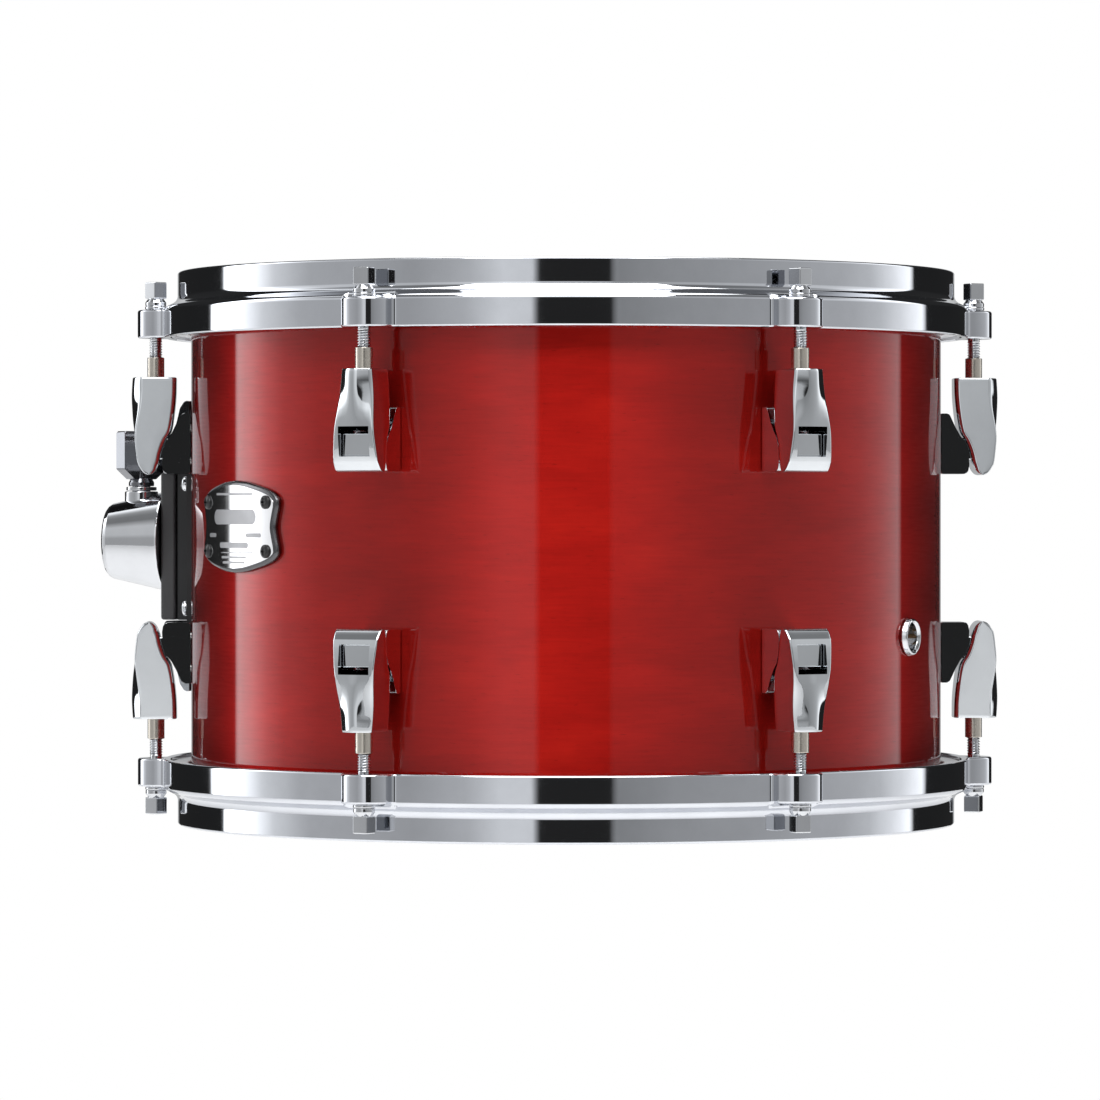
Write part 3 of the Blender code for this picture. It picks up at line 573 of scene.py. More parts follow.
MATERIALS = {
    "lacquered_shell": lacquered_wood(),
    "bare_wood": bare_wood(),
    "hoop_chrome": metal("hoop_chrome", (0.59, 0.605, 0.64), 0.03, 0.07),
    "lug_chrome": metal("lug_chrome", (0.59, 0.61, 0.63), 0.03, 0.07),
    "chrome_trim": metal("chrome_trim", (0.60, 0.61, 0.63), 0.04, 0.09),
    "wing_metal": metal("wing_metal", (0.19, 0.195, 0.21), 0.10, 0.18),
    "rod_chrome": metal("rod_chrome", (0.58, 0.59, 0.61), 0.05, 0.12),
    "plain_steel": metal("plain_steel", (0.50, 0.50, 0.50), 0.22, 0.36, 0.4),
    "swivel_nickel": metal("swivel_nickel", (0.56, 0.52, 0.46), 0.16, 0.30, 0.3),
    "flesh_hoop_metal": metal("flesh_hoop_metal", (0.62, 0.63, 0.64), 0.28, 0.42, 0.4),
    "badge_metal": metal("badge_metal", (0.60, 0.60, 0.61), 0.05, 0.10, 0.3),
    "badge_dark": metal("badge_dark", (0.11, 0.11, 0.115), 0.16, 0.28, 0.3),
    "badge_mark": metal("badge_mark", (0.30, 0.30, 0.31), 0.25, 0.40, 0.3),
    "black_screws": soft_black("black_screws", (0.012, 0.012, 0.013), 0.28, 0.42, 1500.0, Metallic=0.3),
    "isolator_rubber": soft_black("isolator_rubber", (0.030, 0.030, 0.032), 0.38, 0.52, 1100.0),
    "batter_film": coated_film(),
    "resonant_film": clear_film(),
}


# ---------------------------------------------------------------- pieces


def piece(name, mesh, finish, body, nodes=(), matrix=None, flat_corners=True):
    """Show a mesh as one piece that rides on a CAD body, in place of the CAD nodes named."""
    if matrix is not None and "mount" in name:
        mesh = moved(mesh.copy(), matrix)
        matrix = None
    if not mesh.materials:
        mesh.materials.append(MATERIALS[finish])
        mesh.shade_smooth()
        mesh.set_sharp_from_angle(angle=math.radians(34))
    obj = bpy.data.objects.new(name, mesh)
    bpy.context.scene.collection.objects.link(obj)
    obj.matrix_world = matrix or Matrix.Identity(4)
    if flat_corners:
        weighted = obj.modifiers.new("weighted normals", "WEIGHTED_NORMAL")
        weighted.keep_sharp = True
        weighted.weight = 50
    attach(obj, body)
    if nodes:
        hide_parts(*nodes)
    return obj


def lug_azimuth(number):
    return math.radians(240 + (number - 1) * 360 / LUG_COUNT)


def on_side(side):
    if side == "batter":
        return Matrix.Identity(4)
    return shifted(z=RESONANT_FACE) @ Matrix.Rotation(math.pi, 4, "X")


def on_lug(side, number):
    turn = 1 if side == "batter" else -1
    return on_side(side) @ around(turn * lug_azimuth(number))


# Shell


def wall_drill(radius, azimuth, z, inside=SHELL_INSIDE - 6 * MM):
    drill = moved(disc(radius, inside, SHELL_RADIUS + 6 * MM, 0, 32), OUTWARDS)
    return moved(drill, around(azimuth, z))


def lug_screw_places():
    places = []
    for number in range(1, LUG_COUNT + 1):
        for depth in LUG_SCREW_DEPTHS:
            places.append((lug_azimuth(number), LUG_TOP - depth))
            places.append((lug_azimuth(number), RESONANT_FACE - LUG_TOP + depth))
    return places


def mount_bolt_places():
    return [
        (MOUNT_AZIMUTH + side * BOLT_ANGLE, MOUNT_Z + end * BOLT_RISE)
        for side in (-1, 1)
        for end in (-1, 1)
    ]


def radial_normals(mesh):
    """Exact normals on the two round walls, so that the drilled holes don't dent the gloss."""
    normals = []
    for polygon in mesh.polygons:
        upright = abs(polygon.normal.z) < 0.02
        outer = polygon.center.xy.length > SHELL_RADIUS - 0.2 * MM
        inner = polygon.center.xy.length < SHELL_INSIDE + 0.05 * MM
        across = Vector((polygon.center.x, polygon.center.y, 0)).normalized()
        faces_out = abs(polygon.normal.dot(across)) > 0.95
        for loop in polygon.loop_indices:
            place = mesh.vertices[mesh.loops[loop].vertex_index].co
            away = Vector((place.x, place.y, 0)).normalized()
            if upright and faces_out and outer:
                normals.append(away)
            elif upright and faces_out and inner:
                normals.append(-away)
            else:
                normals.append(Vector((0, 0, 0)))
    mesh.normals_split_custom_set(normals)


def make_shell():
    top = [
        (SHELL_INSIDE, SHELL_TOP - 3.2 * MM, 1.2 * MM),
        (EDGE_CREST - 0.5 * MM, SHELL_TOP, 0.5 * MM),
        (EDGE_CREST + 0.5 * MM, SHELL_TOP, 0.5 * MM),
        (SHELL_RADIUS, SHELL_TOP - 2.6 * MM, 1.2 * MM),
    ]
    middle = (SHELL_TOP + SHELL_BOTTOM) / 2
    bottom = [(radius, 2 * middle - z, size) for radius, z, size in reversed(top)]
    mesh = turned(rounded(top + bottom, 0, 4), 288)
    drills = [wall_drill(6.5 * MM, VENT_AZIMUTH, VENT_Z)]
    drills += [wall_drill(2.2 * MM, *spot) for spot in lug_screw_places() + mount_bolt_places()]
    mesh = combined(mesh, [gathered(drills)])
    mesh.materials.clear()
    mesh.materials.append(MATERIALS["lacquered_shell"])
    mesh.materials.append(MATERIALS["bare_wood"])
    for polygon in mesh.polygons:
        reach = polygon.center.xy.length
        lacquered = reach > SHELL_RADIUS - 1.2 * MM and polygon.normal.dot(
            Vector((polygon.center.x, polygon.center.y, 0)).normalized()
        ) > 0.3
        polygon.material_index = 0 if lacquered else 1
    mesh.shade_smooth()
    mesh.set_sharp_from_angle(angle=math.radians(34))
    radial_normals(mesh)
    piece("shell_body", mesh, None, "shell", ["shell"], flat_corners=False)


def make_vent():
    face = 0.3 * MM
    seat = SHELL_INSIDE - SHELL_RADIUS - 0.9 * MM
    tube = 6.2 * MM
    bore = 5.3 * MM
    profile = [
        (bore + 0.9 * MM, face + 2.4 * MM, 0.9 * MM),
        (6.9 * MM, face + 2.1 * MM, 0.8 * MM),
        (7.5 * MM, face + 0.5 * MM, 0.5 * MM),
        (7.5 * MM, face, 0.1 * MM),
        (tube, face, 0),
        (tube, seat - 1.3 * MM, 0),
        (7.2 * MM, seat - 1.3 * MM, 0.3 * MM),
        (7.2 * MM, seat - 2.3 * MM, 0.5 * MM),
        (bore, seat - 2.3 * MM, 0.5 * MM),
        (bore, face + 1.2 * MM, 0.6 * MM),
    ]
    place = around(VENT_AZIMUTH, VENT_Z) @ shifted(x=SHELL_RADIUS) @ OUTWARDS
    grommet = turned(rounded(profile, 0, 5), 72)
    piece("vent_ring", grommet, "chrome_trim", "shell", nodes=["vent_grommet"], matrix=place)
    washer = ring(tube + 0.3 * MM, 8.6 * MM, seat - 1.0 * MM, seat)
    piece("vent_washer_inside", washer, "plain_steel", "shell", nodes=["vent_washer"], matrix=place)


# Badge


def badge_outline(inset):
    """Bulging top and bottom edges, round lobes about the screws, and a waist between them."""
    quarter = [
        (0.0, 18.0), (7.5, 17.5), (14.0, 16.4), (20.5, 15.0), (25.6, 13.2),
        (28.3, 10.9), (28.6, 8.0), (27.5, 4.0), (26.7, 0.0),
    ]
    lower = [(along, -rise) for along, rise in reversed(quarter[:-1])]
    right = smooth_line(quarter + lower, [5] * 16)
    whole = right + [-place for place in right[1:-1]]
    count = len(whole)
    outline = []
    for i, place in enumerate(whole):
        tangent = (whole[(i + 1) % count] - whole[i - 1]).normalized()
        inwards = Vector((tangent.y, -tangent.x))
        outline.append((place + inwards * inset) * MM)
    return outline


def badge_rim_mesh(low, high):
    """The badge's thick body, with a wide rounded bevel up to its face."""
    bevel = 1.8
    straight = 0.7 * MM
    levels = [(0.0, low), (0.0, low + straight)]
    for step in range(1, 7):
        angle = math.pi / 2 * step / 6
        rise = (high - low - straight) * math.sin(angle)
        levels.append((bevel * (1 - math.cos(angle)), low + straight + rise))
    edit = bmesh.new()
    loops = [[edit.verts.new((height, *place)) for place in badge_outline(inset)] for inset, height in levels]
    for under, over in zip(loops, loops[1:]):
        for i in range(len(under)):
            edit.faces.new((under[i - 1], under[i], over[i], over[i - 1]))
    edit.faces.new(loops[0])
    edit.faces.new(loops[-1])
    return to_mesh(edit)


def badge_piece(name, mesh, finish, nodes=()):
    mesh = bent(sliced(mesh, 2.0 * MM, 32 * MM), SHELL_RADIUS)
    piece(name, mesh, finish, "shell", nodes, around(BADGE_AZIMUTH, BADGE_Z))


def bar(half_width, half_height, along=0.0, rise=0.0):
    corners = [
        (along - half_width, rise - half_height),
        (along + half_width, rise - half_height),
        (along + half_width, rise + half_height),
        (along - half_width, rise + half_height),
    ]
    return rounded(corners, 0.95 * min(half_width, half_height), 5)


def screw_mesh(radius, height, length, cross=True):
    """A pan head on Z with a cross recess, and its shank below."""
    head = turned(
        rounded(
            [
                (0, height, 0),
                (0.55 * radius, height, 0.8 * MM),
                (radius, 0.45 * height, 0.5 * height),
                (radius, 0, 0),
                (0.46 * radius, 0, 0),
                (0.46 * radius, -length, 0),
                (0, -length, 0),
            ],
            0,
            4,
        ),
        40,
    )
    if not cross:
        return head
    reach = 0.62 * radius
    slot = 0.13 * radius
    cutters = [
        block((-reach, -slot, 0.35 * height), (reach, slot, 2 * height), 0),
        block((-slot, -reach, 0.35 * height), (slot, reach, 2 * height), 0),
    ]
    return combined(head, cutters)


def make_badge():
    base = 0.3 * MM
    top = 2.7 * MM
    badge_piece("badge_rim", badge_rim_mesh(base, top - 0.25 * MM), "badge_dark", ["badge_plate"])
    face = front_prism(badge_outline(1.75), top - 0.8 * MM, top - 0.05 * MM, 0.15 * MM)
    badge_piece("badge_face", face, "badge_metal")
    marks = [
        bar(14.0 * MM, 0.45 * MM, rise=12.7 * MM),
        bar(16.0 * MM, 2.9 * MM, rise=3.8 * MM),
        bar(3.2 * MM, 0.8 * MM, -17.6 * MM, -3.3 * MM),
        bar(5.0 * MM, 0.8 * MM, 14.5 * MM, -3.3 * MM),
        bar(11.0 * MM, 1.1 * MM, rise=-7.2 * MM),
        bar(12.0 * MM, 0.2 * MM, 2.0 * MM, -10.1 * MM),
        bar(9.5 * MM, 0.45 * MM, rise=-11.9 * MM),
        bar(8.5 * MM, 0.45 * MM, rise=-13.9 * MM),
    ]
    for number, outline in enumerate(marks, 1):
        mark = front_prism(outline, top - 0.3 * MM, top, 0.03 * MM)
        badge_piece(f"badge_mark_{number}", mark, "badge_mark")
    screw = screw_mesh(2.65 * MM, 1.3 * MM, 3.2 * MM)
    number = 0
    for along, rise in ((22.4 * MM, 9.5 * MM), (22.4 * MM, -9.5 * MM)):
        for side in (1, -1):
            number += 1
            azimuth = BADGE_AZIMUTH + side * math.asin(along / SHELL_RADIUS)
            place = around(azimuth, BADGE_Z + rise) @ shifted(x=SHELL_RADIUS + top) @ OUTWARDS
            node = f"badge_rivet_{number}"
            piece(f"badge_screw_{number}", screw, "black_screws", "shell", nodes=[node], matrix=place)


# Hoops and heads


def ear_outline(inset):
    """The hoop's plan outline: six round ears, and the band between them, joined by fillets.

    Each point is (place, share), where the share is 1 on an ear, 0 on the band and between the
    two in a fillet.
    """
    band = BAND_RADIUS - inset
    half = EAR_HALF_WIDTH - inset
    fillet = EAR_FILLET + inset
    reach = band + fillet
    centre_x = (reach**2 - (half + fillet) ** 2 + EAR_NOSE**2) / (2 * EAR_NOSE)
    centre_y = math.sqrt(reach**2 - centre_x**2)
    touch = math.atan2(centre_y, centre_x)
    nose_end = math.atan2(centre_y, centre_x - EAR_NOSE)
    steps = 6
    side = []
    for step in range(steps):
        share = step / steps
        angle = math.pi + touch + (nose_end - touch) * share
        place = (centre_x + fillet * math.cos(angle), centre_y + fillet * math.sin(angle))
        side.append((*place, share))
    nose = []
    for step in range(29):
        angle = nose_end * (step / 14 - 1)
        nose.append((EAR_NOSE + half * math.cos(angle), half * math.sin(angle), 1.0))
    ear = [(x, -y, share) for x, y, share in side] + nose + list(reversed(side))
    arc = []
    gap = math.radians(360 / LUG_COUNT) - 2 * touch
    for step in range(1, 36):
        angle = touch + gap * step / 36
        arc.append((band * math.cos(angle), band * math.sin(angle), 0.0))
    points = []
    for number in range(1, LUG_COUNT + 1):
        turn = Matrix.Rotation(lug_azimuth(number), 2)
        points += [(turn @ Vector((x, y)), share) for x, y, share in ear + arc]
    return points


def hoop_mesh():
    """Rings of points up the outside, over the rim and down the inside, all of one count."""
    plain = ear_outline(0)

    def outlined(inset, z_band, z_ear):
        return [
            (place.x, place.y, z_band * (1 - share) + z_ear * share)
            for place, share in ear_outline(inset)
        ]

    def circle(radius, z, ear_radius=None, ear_z=None):
        points = []
        for place, share in plain:
            reach = radius if ear_radius is None else radius * (1 - share) + ear_radius * share
            height = z if ear_z is None else z * (1 - share) + ear_z * share
            points.append((*(place.normalized() * reach), height))
        return points

    bottom = HOOP_BOTTOM
    rings = [circle(BAND_INNER + 0.4 * MM, bottom)]
    for inset, rise in ((0.8, 0.0), (0.45, 0.1), (0.13, 0.42), (0.0, 0.9)):
        rings.append(outlined(inset * MM, bottom + rise * MM, bottom + rise * MM))
    for inset, z_band, z_ear in (
        (0.0, -7.2, -7.4),
        (0.13, -6.6, -6.92),
        (0.45, -5.95, -6.6),
        (0.8, -5.6, -6.5),
    ):
        rings.append(outlined(inset * MM, z_band * MM, z_ear * MM))
    rings.append(circle(160.8 * MM, -5.25 * MM, 160.3 * MM, EAR_TOP))
    rings.append(circle(160.2 * MM, -4.95 * MM, 160.0 * MM, -5.6 * MM))
    cove = [(159.3, -4.5), (158.5, -4.1), (157.8, -3.65), (157.2, -3.1), (156.75, -2.4), (156.45, -1.6)]
    for radius, z in cove + [(156.4, -0.8)]:
        rings.append(circle(radius * MM, z * MM))
    for corner, start in ((RIM_OUTER - RIM_EDGE, 0), (RIM_INNER + RIM_EDGE, 90)):
        for step in range(7):
            angle = math.radians(start + 15 * step)
            radius = corner + RIM_EDGE * math.cos(angle)
            rings.append(circle(radius, HOOP_RISE - RIM_EDGE + RIM_EDGE * math.sin(angle)))
    rings.append(circle(RIM_INNER, -7.2 * MM))
    rings.append(circle(RIM_INNER + 0.3 * MM, -7.5 * MM))
    rings.append(circle(BAND_INNER, -7.5 * MM))
    rings.append(circle(BAND_INNER, bottom + 0.4 * MM))
    edit = bmesh.new()
    loops = [[edit.verts.new(place) for place in points] for points in rings]
    for low, high in zip(loops, loops[1:] + loops[:1]):
        for i in range(len(low)):
            edit.faces.new((low[i - 1], low[i], high[i], high[i - 1]))
    mesh = to_mesh(edit)
    drill = disc(3.3 * MM, HOOP_BOTTOM - 2 * MM, EAR_TOP + 3 * MM, 0, 32)
    turns = [around(lug_azimuth(n)) @ shifted(x=ROD_CIRCLE) for n in range(1, LUG_COUNT + 1)]
    return combined(mesh, [copied(drill, turns)])


def film_mesh(thickness):
    profile = [
        (0, 0, 0),
        (149.2 * MM, 0, 1.5 * MM),
        (FILM_RADIUS - 0.35 * MM, -2.2 * MM, 1.5 * MM),
        (FILM_RADIUS, FLESH_TOP, 0),
        (FILM_RADIUS, FLESH_BOTTOM + 1 * MM, 0),
        (FILM_RADIUS - thickness, FLESH_BOTTOM + 1 * MM, 0),
        (FILM_RADIUS - thickness, FLESH_TOP, 0),
        (FILM_RADIUS - 0.35 * MM - thickness, -2.3 * MM, 1.3 * MM),
        (149.0 * MM, -thickness, 1.3 * MM),
        (0, -thickness, 0),
    ]
    return turned(rounded(profile, 0, 5), 288)


def flesh_hoop_mesh():
    inner = FILM_RADIUS + 0.1 * MM
    profile = [
        (inner, FLESH_TOP, 0.6 * MM),
        (FLESH_OUTER, FLESH_TOP, 1.5 * MM),
        (FLESH_OUTER, FLESH_BOTTOM, 0.8 * MM),
        (inner, FLESH_BOTTOM, 0.8 * MM),
    ]
    return turned(rounded(profile, 0, 4), 288)


# Tension rods


def thread_mesh(top, bottom):
    """A shank with a helical thread, as rows of points that turn with height."""
    columns = 24
    steps_per_turn = 8
    edit = bmesh.new()
    turns = (top - bottom) / THREAD_PITCH
    rows = int(turns * steps_per_turn)
    loops = []
    for row in range(rows + 1):
        height = bottom + (top - bottom) * row / rows
        runout = min(1.0, (top - height) / (1.5 * THREAD_PITCH))
        loop = []
        for column in range(columns):
            share = column / columns
            phase = ((height - bottom) / THREAD_PITCH - share) % 1.0
            depth = abs(2 * phase - 1)
            crest = THREAD_ROOT + (THREAD_OUTER - THREAD_ROOT) * min(1.0, 1.15 * depth)
            radius = SHANK_RADIUS + (crest - SHANK_RADIUS) * runout
            angle = 2 * math.pi * share
            loop.append(edit.verts.new((radius * math.cos(angle), radius * math.sin(angle), height)))
        loops.append(loop)
    for low, high in zip(loops, loops[1:]):
        for i in range(columns):
            edit.faces.new((low[i - 1], low[i], high[i], high[i - 1]))
    edit.faces.new(loops[0])
    edit.faces.new(loops[-1])
    return to_mesh(edit)


def rod_mesh():
    washer_top = EAR_TOP + 1.6 * MM
    head_low = -1.95 * MM
    collar = [
        (0, head_low + 0.6 * MM, 0),
        (2.9 * MM, head_low + 0.6 * MM, 0),
        (3.15 * MM, head_low, 0.2 * MM),
        (4.2 * MM, washer_top + 1.5 * MM, 0.35 * MM),
        (4.2 * MM, washer_top, 0.3 * MM),
        (SHANK_RADIUS, washer_top, 0),
        (SHANK_RADIUS, HOOP_BOTTOM - 1.0 * MM, 0),
        (0, HOOP_BOTTOM - 1.0 * MM, 0),
    ]
    half = 3.175 * MM
    square = rounded([(-half, -half), (half, -half), (half, half), (-half, half)], 0.45 * MM, 4)
    head = prism(square, head_low, 4.8 * MM, 0.45 * MM, 3)
    shank = turned(rounded(collar, 0, 3), 40)
    thread = thread_mesh(HOOP_BOTTOM - 0.2 * MM, ROD_END)
    return gathered([head, shank, thread])


def washer_mesh():
    low = EAR_TOP + 0.3 * MM
    return ring(SHANK_RADIUS + 0.25 * MM, 4.3 * MM, low, low + 1.25 * MM, 0.3 * MM, 48)


# Lugs


def lug_curves():
    """Matched rows of the lug's front and back, as (radius, depth below the lug's top)."""
    upper = [(174.5, 0.0), (174.8, 4.6), (174.9, 9.2), (174.5, 16.5), (173.9, 21.9)]
    lower = [(172.6, 33.3), (171.6, 36.0), (170.2, 38.1), (168.9, 39.0), (168.0, 39.2)]
    front = smooth_line(upper + lower, (4, 4, 5, 4, 6, 3, 4, 4, 3))
    back_points = [
        (156.8, 0.0), (157.0, 8.0), (157.9, 16.5), (159.0, 21.9), (160.4, 24.2), (161.6, 26.6),
        (162.9, 30.5), (163.7, 34.2), (165.0, 37.2), (166.6, 38.8), (168.0, 39.2),
    ]
    back = smooth_line(back_points, (5, 5, 5, 2, 2, 4, 4, 4, 3, 3))
    return front, back


LUG_WINDOW_ROWS = (17, 23)


def lug_half_width(depth):
    share = depth / LUG_LENGTH
    return LUG_TOP_HALF_WIDTH + share * (LUG_BOTTOM_HALF_WIDTH - LUG_TOP_HALF_WIDTH)


def lug_crown(depth, y):
    """How far the front falls back at y from its middle. It is a soft ridge that fades out."""
    fade = max(0.0, min(1.0, 1.0 - (depth - 5 * MM) / (21 * MM)))
    fade = fade * fade * (3 - 2 * fade)
    softness = 2.2 * MM
    return 0.74 * fade * (math.hypot(y, softness) - softness)


def lug_section(front, back, inset):
    """One ring of the lug: across the front, down a side, across the back and up the other."""
    front_reach, front_depth = front.x * MM, front.y * MM
    back_reach, back_depth = back.x * MM, back.y * MM
    front_half = lug_half_width(front_depth) - inset
    back_half = lug_half_width(back_depth) - inset
    crown = lug_crown(front_depth, front_half)
    edge = min(0.7 * MM, 0.3 * (front_reach - back_reach) + 0.02 * MM)
    back_edge = min(2.0 * MM, 0.3 * (front_reach - back_reach) + 0.02 * MM)
    inner = min(WINDOW_HALF_WIDTH, 0.84 * front_half)
    span = [share / 5 for share in range(-5, 6)]
    half_front = [
        (front_half - edge, 0.0),
        (front_half - 0.45 * edge, 0.14 * edge),
        (front_half - 0.12 * edge, 0.46 * edge),
        (front_half, edge),
    ]

    def front_point(y, drop=0.0):
        reach = front_reach - inset - lug_crown(front_depth, y) - drop
        return (reach, y, LUG_TOP - front_depth)

    def back_point(y, rise=0.0):
        return (back_reach + inset + rise, y, LUG_TOP - back_depth)

    points = [front_point(inner * share) for share in span]
    points += [front_point(y, drop) for y, drop in half_front]
    side_reach = front_reach - crown - edge - inset
    start = (side_reach, front_half, LUG_TOP - front_depth)
    end = back_point(back_half, back_edge)
    side = [tuple(a + (b - a) * share for a, b in zip(start, end)) for share in (0.33, 0.66)]
    corner = []
    for degrees in (0, 22, 45, 68, 90):
        across = back_half - back_edge * (1 - math.cos(math.radians(degrees)))
        rise = back_edge * (1 - math.sin(math.radians(degrees)))
        corner.append(back_point(across, rise))
    inner_back = min(WINDOW_HALF_WIDTH, back_half - back_edge)
    right_side = side + corner
    points += right_side
    points += [back_point(-inner_back * share) for share in span]
    points += [(x, -y, z) for x, y, z in reversed(right_side)]
    points += [front_point(-y, drop) for y, drop in reversed(half_front)]
    return points


def lug_mesh():
    """The lug's shell, open through its window, with a bore for the swivel nut."""
    front, back = lug_curves()
    sections = []
    for inset, depth in ((0.5, 0.0), (0.15, 0.15)):
        top_front = Vector((front[0].x, depth))
        top_back = Vector((back[0].x, depth))
        sections.append(lug_section(top_front, top_back, inset * MM))
    first = Vector((front[0].x, 0.5)), Vector((back[0].x, 0.5))
    sections.append(lug_section(*first, 0.0))
    sections += [lug_section(a, b, 0.0) for a, b in list(zip(front, back))[1:]]
    skip = len(sections) - len(front)
    window = range(LUG_WINDOW_ROWS[0] + skip, LUG_WINDOW_ROWS[1] + skip)
    across = 10
    back_start = 22
    edit = bmesh.new()
    loops = [[edit.verts.new(place) for place in section] for section in sections]
    count = len(loops[0])
    for row, (high, low) in enumerate(zip(loops, loops[1:])):
        for i in range(count):
            after = (i + 1) % count
            in_window = i < across or back_start <= i < back_start + across
            if row in window and in_window:
                continue
            edit.faces.new((high[i], high[after], low[after], low[i]))
    top, bottom = window.start, window.stop
    for row in (top, bottom):
        loop = loops[row]
        for i in range(across):
            facing = back_start + across - i
            edit.faces.new((loop[i], loop[i + 1], loop[facing - 1], loop[facing]))
    for row in window:
        for i, facing in ((0, back_start + across), (across, back_start)):
            edit.faces.new((loops[row][i], loops[row][facing], loops[row + 1][facing], loops[row + 1][i]))
    edit.faces.new(loops[0])
    edit.faces.new(loops[-1])
    mesh = to_mesh(edit)
    bore = disc(3.65 * MM, LUG_TOP - 15 * MM, LUG_TOP + 3 * MM, 0, 40)
    return combined(mesh, [moved(bore, shifted(x=ROD_CIRCLE))])


def swivel_mesh():
    """The threaded sleeve that stands out of the lug's top."""
    top = LUG_TOP + 8.0 * MM
    profile = [
        (3.4 * MM, top, 0.35 * MM),
        (3.4 * MM, LUG_TOP - 14 * MM, 0),
        (2.75 * MM, LUG_TOP - 14 * MM, 0),
        (2.75 * MM, top, 0.3 * MM),
    ]
    return turned(rounded(profile, 0, 4), 48)


def lug_foot_mesh():
    """The foot on the shell, seen behind the lug, with its hook in the lug's window."""
    profile = [
        (151.3, 14.4, 0.2), (154.4, 14.4, 1.5), (157.0, 20.0, 5.0), (158.9, 23.4, 4.0), (160.8, 25.6, 3.0),
        (162.3, 29.8, 4.0), (162.6, 35.2, 4.0), (161.9, 38.8, 1.6), (151.3, 38.8, 0.4),
    ]
    points = [(radius * MM, LUG_TOP - depth * MM, size * MM) for radius, depth, size in profile]
    foot = side_prism(rounded(points, 0, 5), 8.0 * MM, 0.8 * MM)
    half = WINDOW_HALF_WIDTH - 0.35 * MM
    low = (158 * MM, -half, LUG_TOP - WINDOW_BOTTOM + 0.3 * MM)
    high = (170.6 * MM, half, LUG_TOP - 24.6 * MM)
    return gathered([foot, block(low, high, 0.45 * MM)])


def make_side(side, meshes):
    body = f"{side}_hoop"
    base = on_side(side)
    piece(f"{side}_cast_hoop", meshes["hoop"], "hoop_chrome", body, nodes=[f"{side}_hoop"], matrix=base)
    film = film_mesh(0.36 * MM if side == "batter" else 0.25 * MM)
    finish = f"{side}_film"
    piece(f"{side}_film", film, finish, body, nodes=[f"{side}_head_film"], matrix=base)
    flesh = [f"{side}_flesh_hoop"]
    piece(f"{side}_flesh_ring", meshes["flesh_hoop"], "flesh_hoop_metal", body, nodes=flesh, matrix=base)
    for number in range(1, LUG_COUNT + 1):
        place = on_lug(side, number)
        on_rod = place @ shifted(x=ROD_CIRCLE)
        on_rod = on_rod @ Matrix.Rotation(math.radians(ROD_TURNS[number - 1]), 4, "Z")
        rod = f"{side}_rod_{number}"
        piece(f"{side}_tension_rod_{number}", meshes["rod"], "rod_chrome", rod, nodes=[rod], matrix=on_rod)
        piece(f"{side}_washer_{number}", meshes["washer"], "rod_chrome", rod, matrix=on_rod)
        lug = f"{side}_lug_{number}"
        piece(f"{side}_lug_body_{number}", meshes["lug"], "lug_chrome", "shell", nodes=[lug], matrix=place)
        piece(f"{side}_swivel_nut_{number}", meshes["swivel"], "swivel_nickel", "shell", matrix=on_rod)
        foot = f"{side}_lug_base_{number}"
        piece(f"{side}_lug_foot_{number}", meshes["foot"], "lug_chrome", "shell", nodes=[foot], matrix=place)
        for end, depth in enumerate(LUG_SCREW_DEPTHS, 1):
            inwards = place @ shifted(x=SHELL_INSIDE - 0.6 * MM, z=LUG_TOP - depth)
            inwards = inwards @ Matrix.Rotation(-math.pi / 2, 4, "Y")
            name = f"{side}_lug_screw_{number}_{end}"
            piece(name, meshes["lug_screw"], "plain_steel", "shell", matrix=inwards)


# Side mount


def mount_place(z=MOUNT_Z):
    return around(MOUNT_AZIMUTH, z)


def make_bracket():
    half = [(21.5, 32.0, 4.0), (15.0, 42.5, 6.0), (11.0, 56.0, 6.0), (5.0, 62.5, 3.0)]
    right = [(x * MM, y * MM, size * MM) for x, y, size in half]
    top = right + [(-x, y, size) for x, y, size in reversed(right)]
    outline = rounded(top + [(-x, -y, size) for x, y, size in top], 0, 6)
    plate = front_prism(outline, 0.3 * MM, 2.7 * MM, 0.7 * MM)
    plate = bent(sliced(plate, 3.0 * MM, 24 * MM), SHELL_RADIUS)
    place = mount_place()
    piece("mount_plate", plate, "black_screws", "shell", matrix=place)
    profile = [
        (153.2, 30.4, 0.3), (153.2, 59.0, 0.3), (155.0, 59.0, 1.0), (157.0, 56.0, 2.5), (158.5, 49.8, 5.0),
        (160.6, 45.6, 4.0), (164.2, 42.4, 2.2), (164.2, 33.0, 1.0), (163.4, 30.4, 0.6),
    ]
    points = rounded([(radius * MM, rise * MM, size * MM) for radius, rise, size in profile], 0, 5)
    arm = side_prism(points, 14 * MM, 1.2 * MM)
    front = rounded([(-14.2, 30.2, 4), (14.2, 30.2, 4), (14.2, 70, 0), (-14.2, 70, 0)], 0, 8)
    front = [corner * MM for corner in front]
    arm = combined(arm, [front_prism(front, 140 * MM, 180 * MM, 0)], "INTERSECT")
    nodes = ["mount_bracket"]
    piece("mount_arm_upper", arm, "chrome_trim", "shell", nodes=nodes, matrix=place)
    turn_over = Matrix.Rotation(math.pi, 4, "X")
    piece("mount_arm_lower", arm, "chrome_trim", "shell", matrix=place @ turn_over)


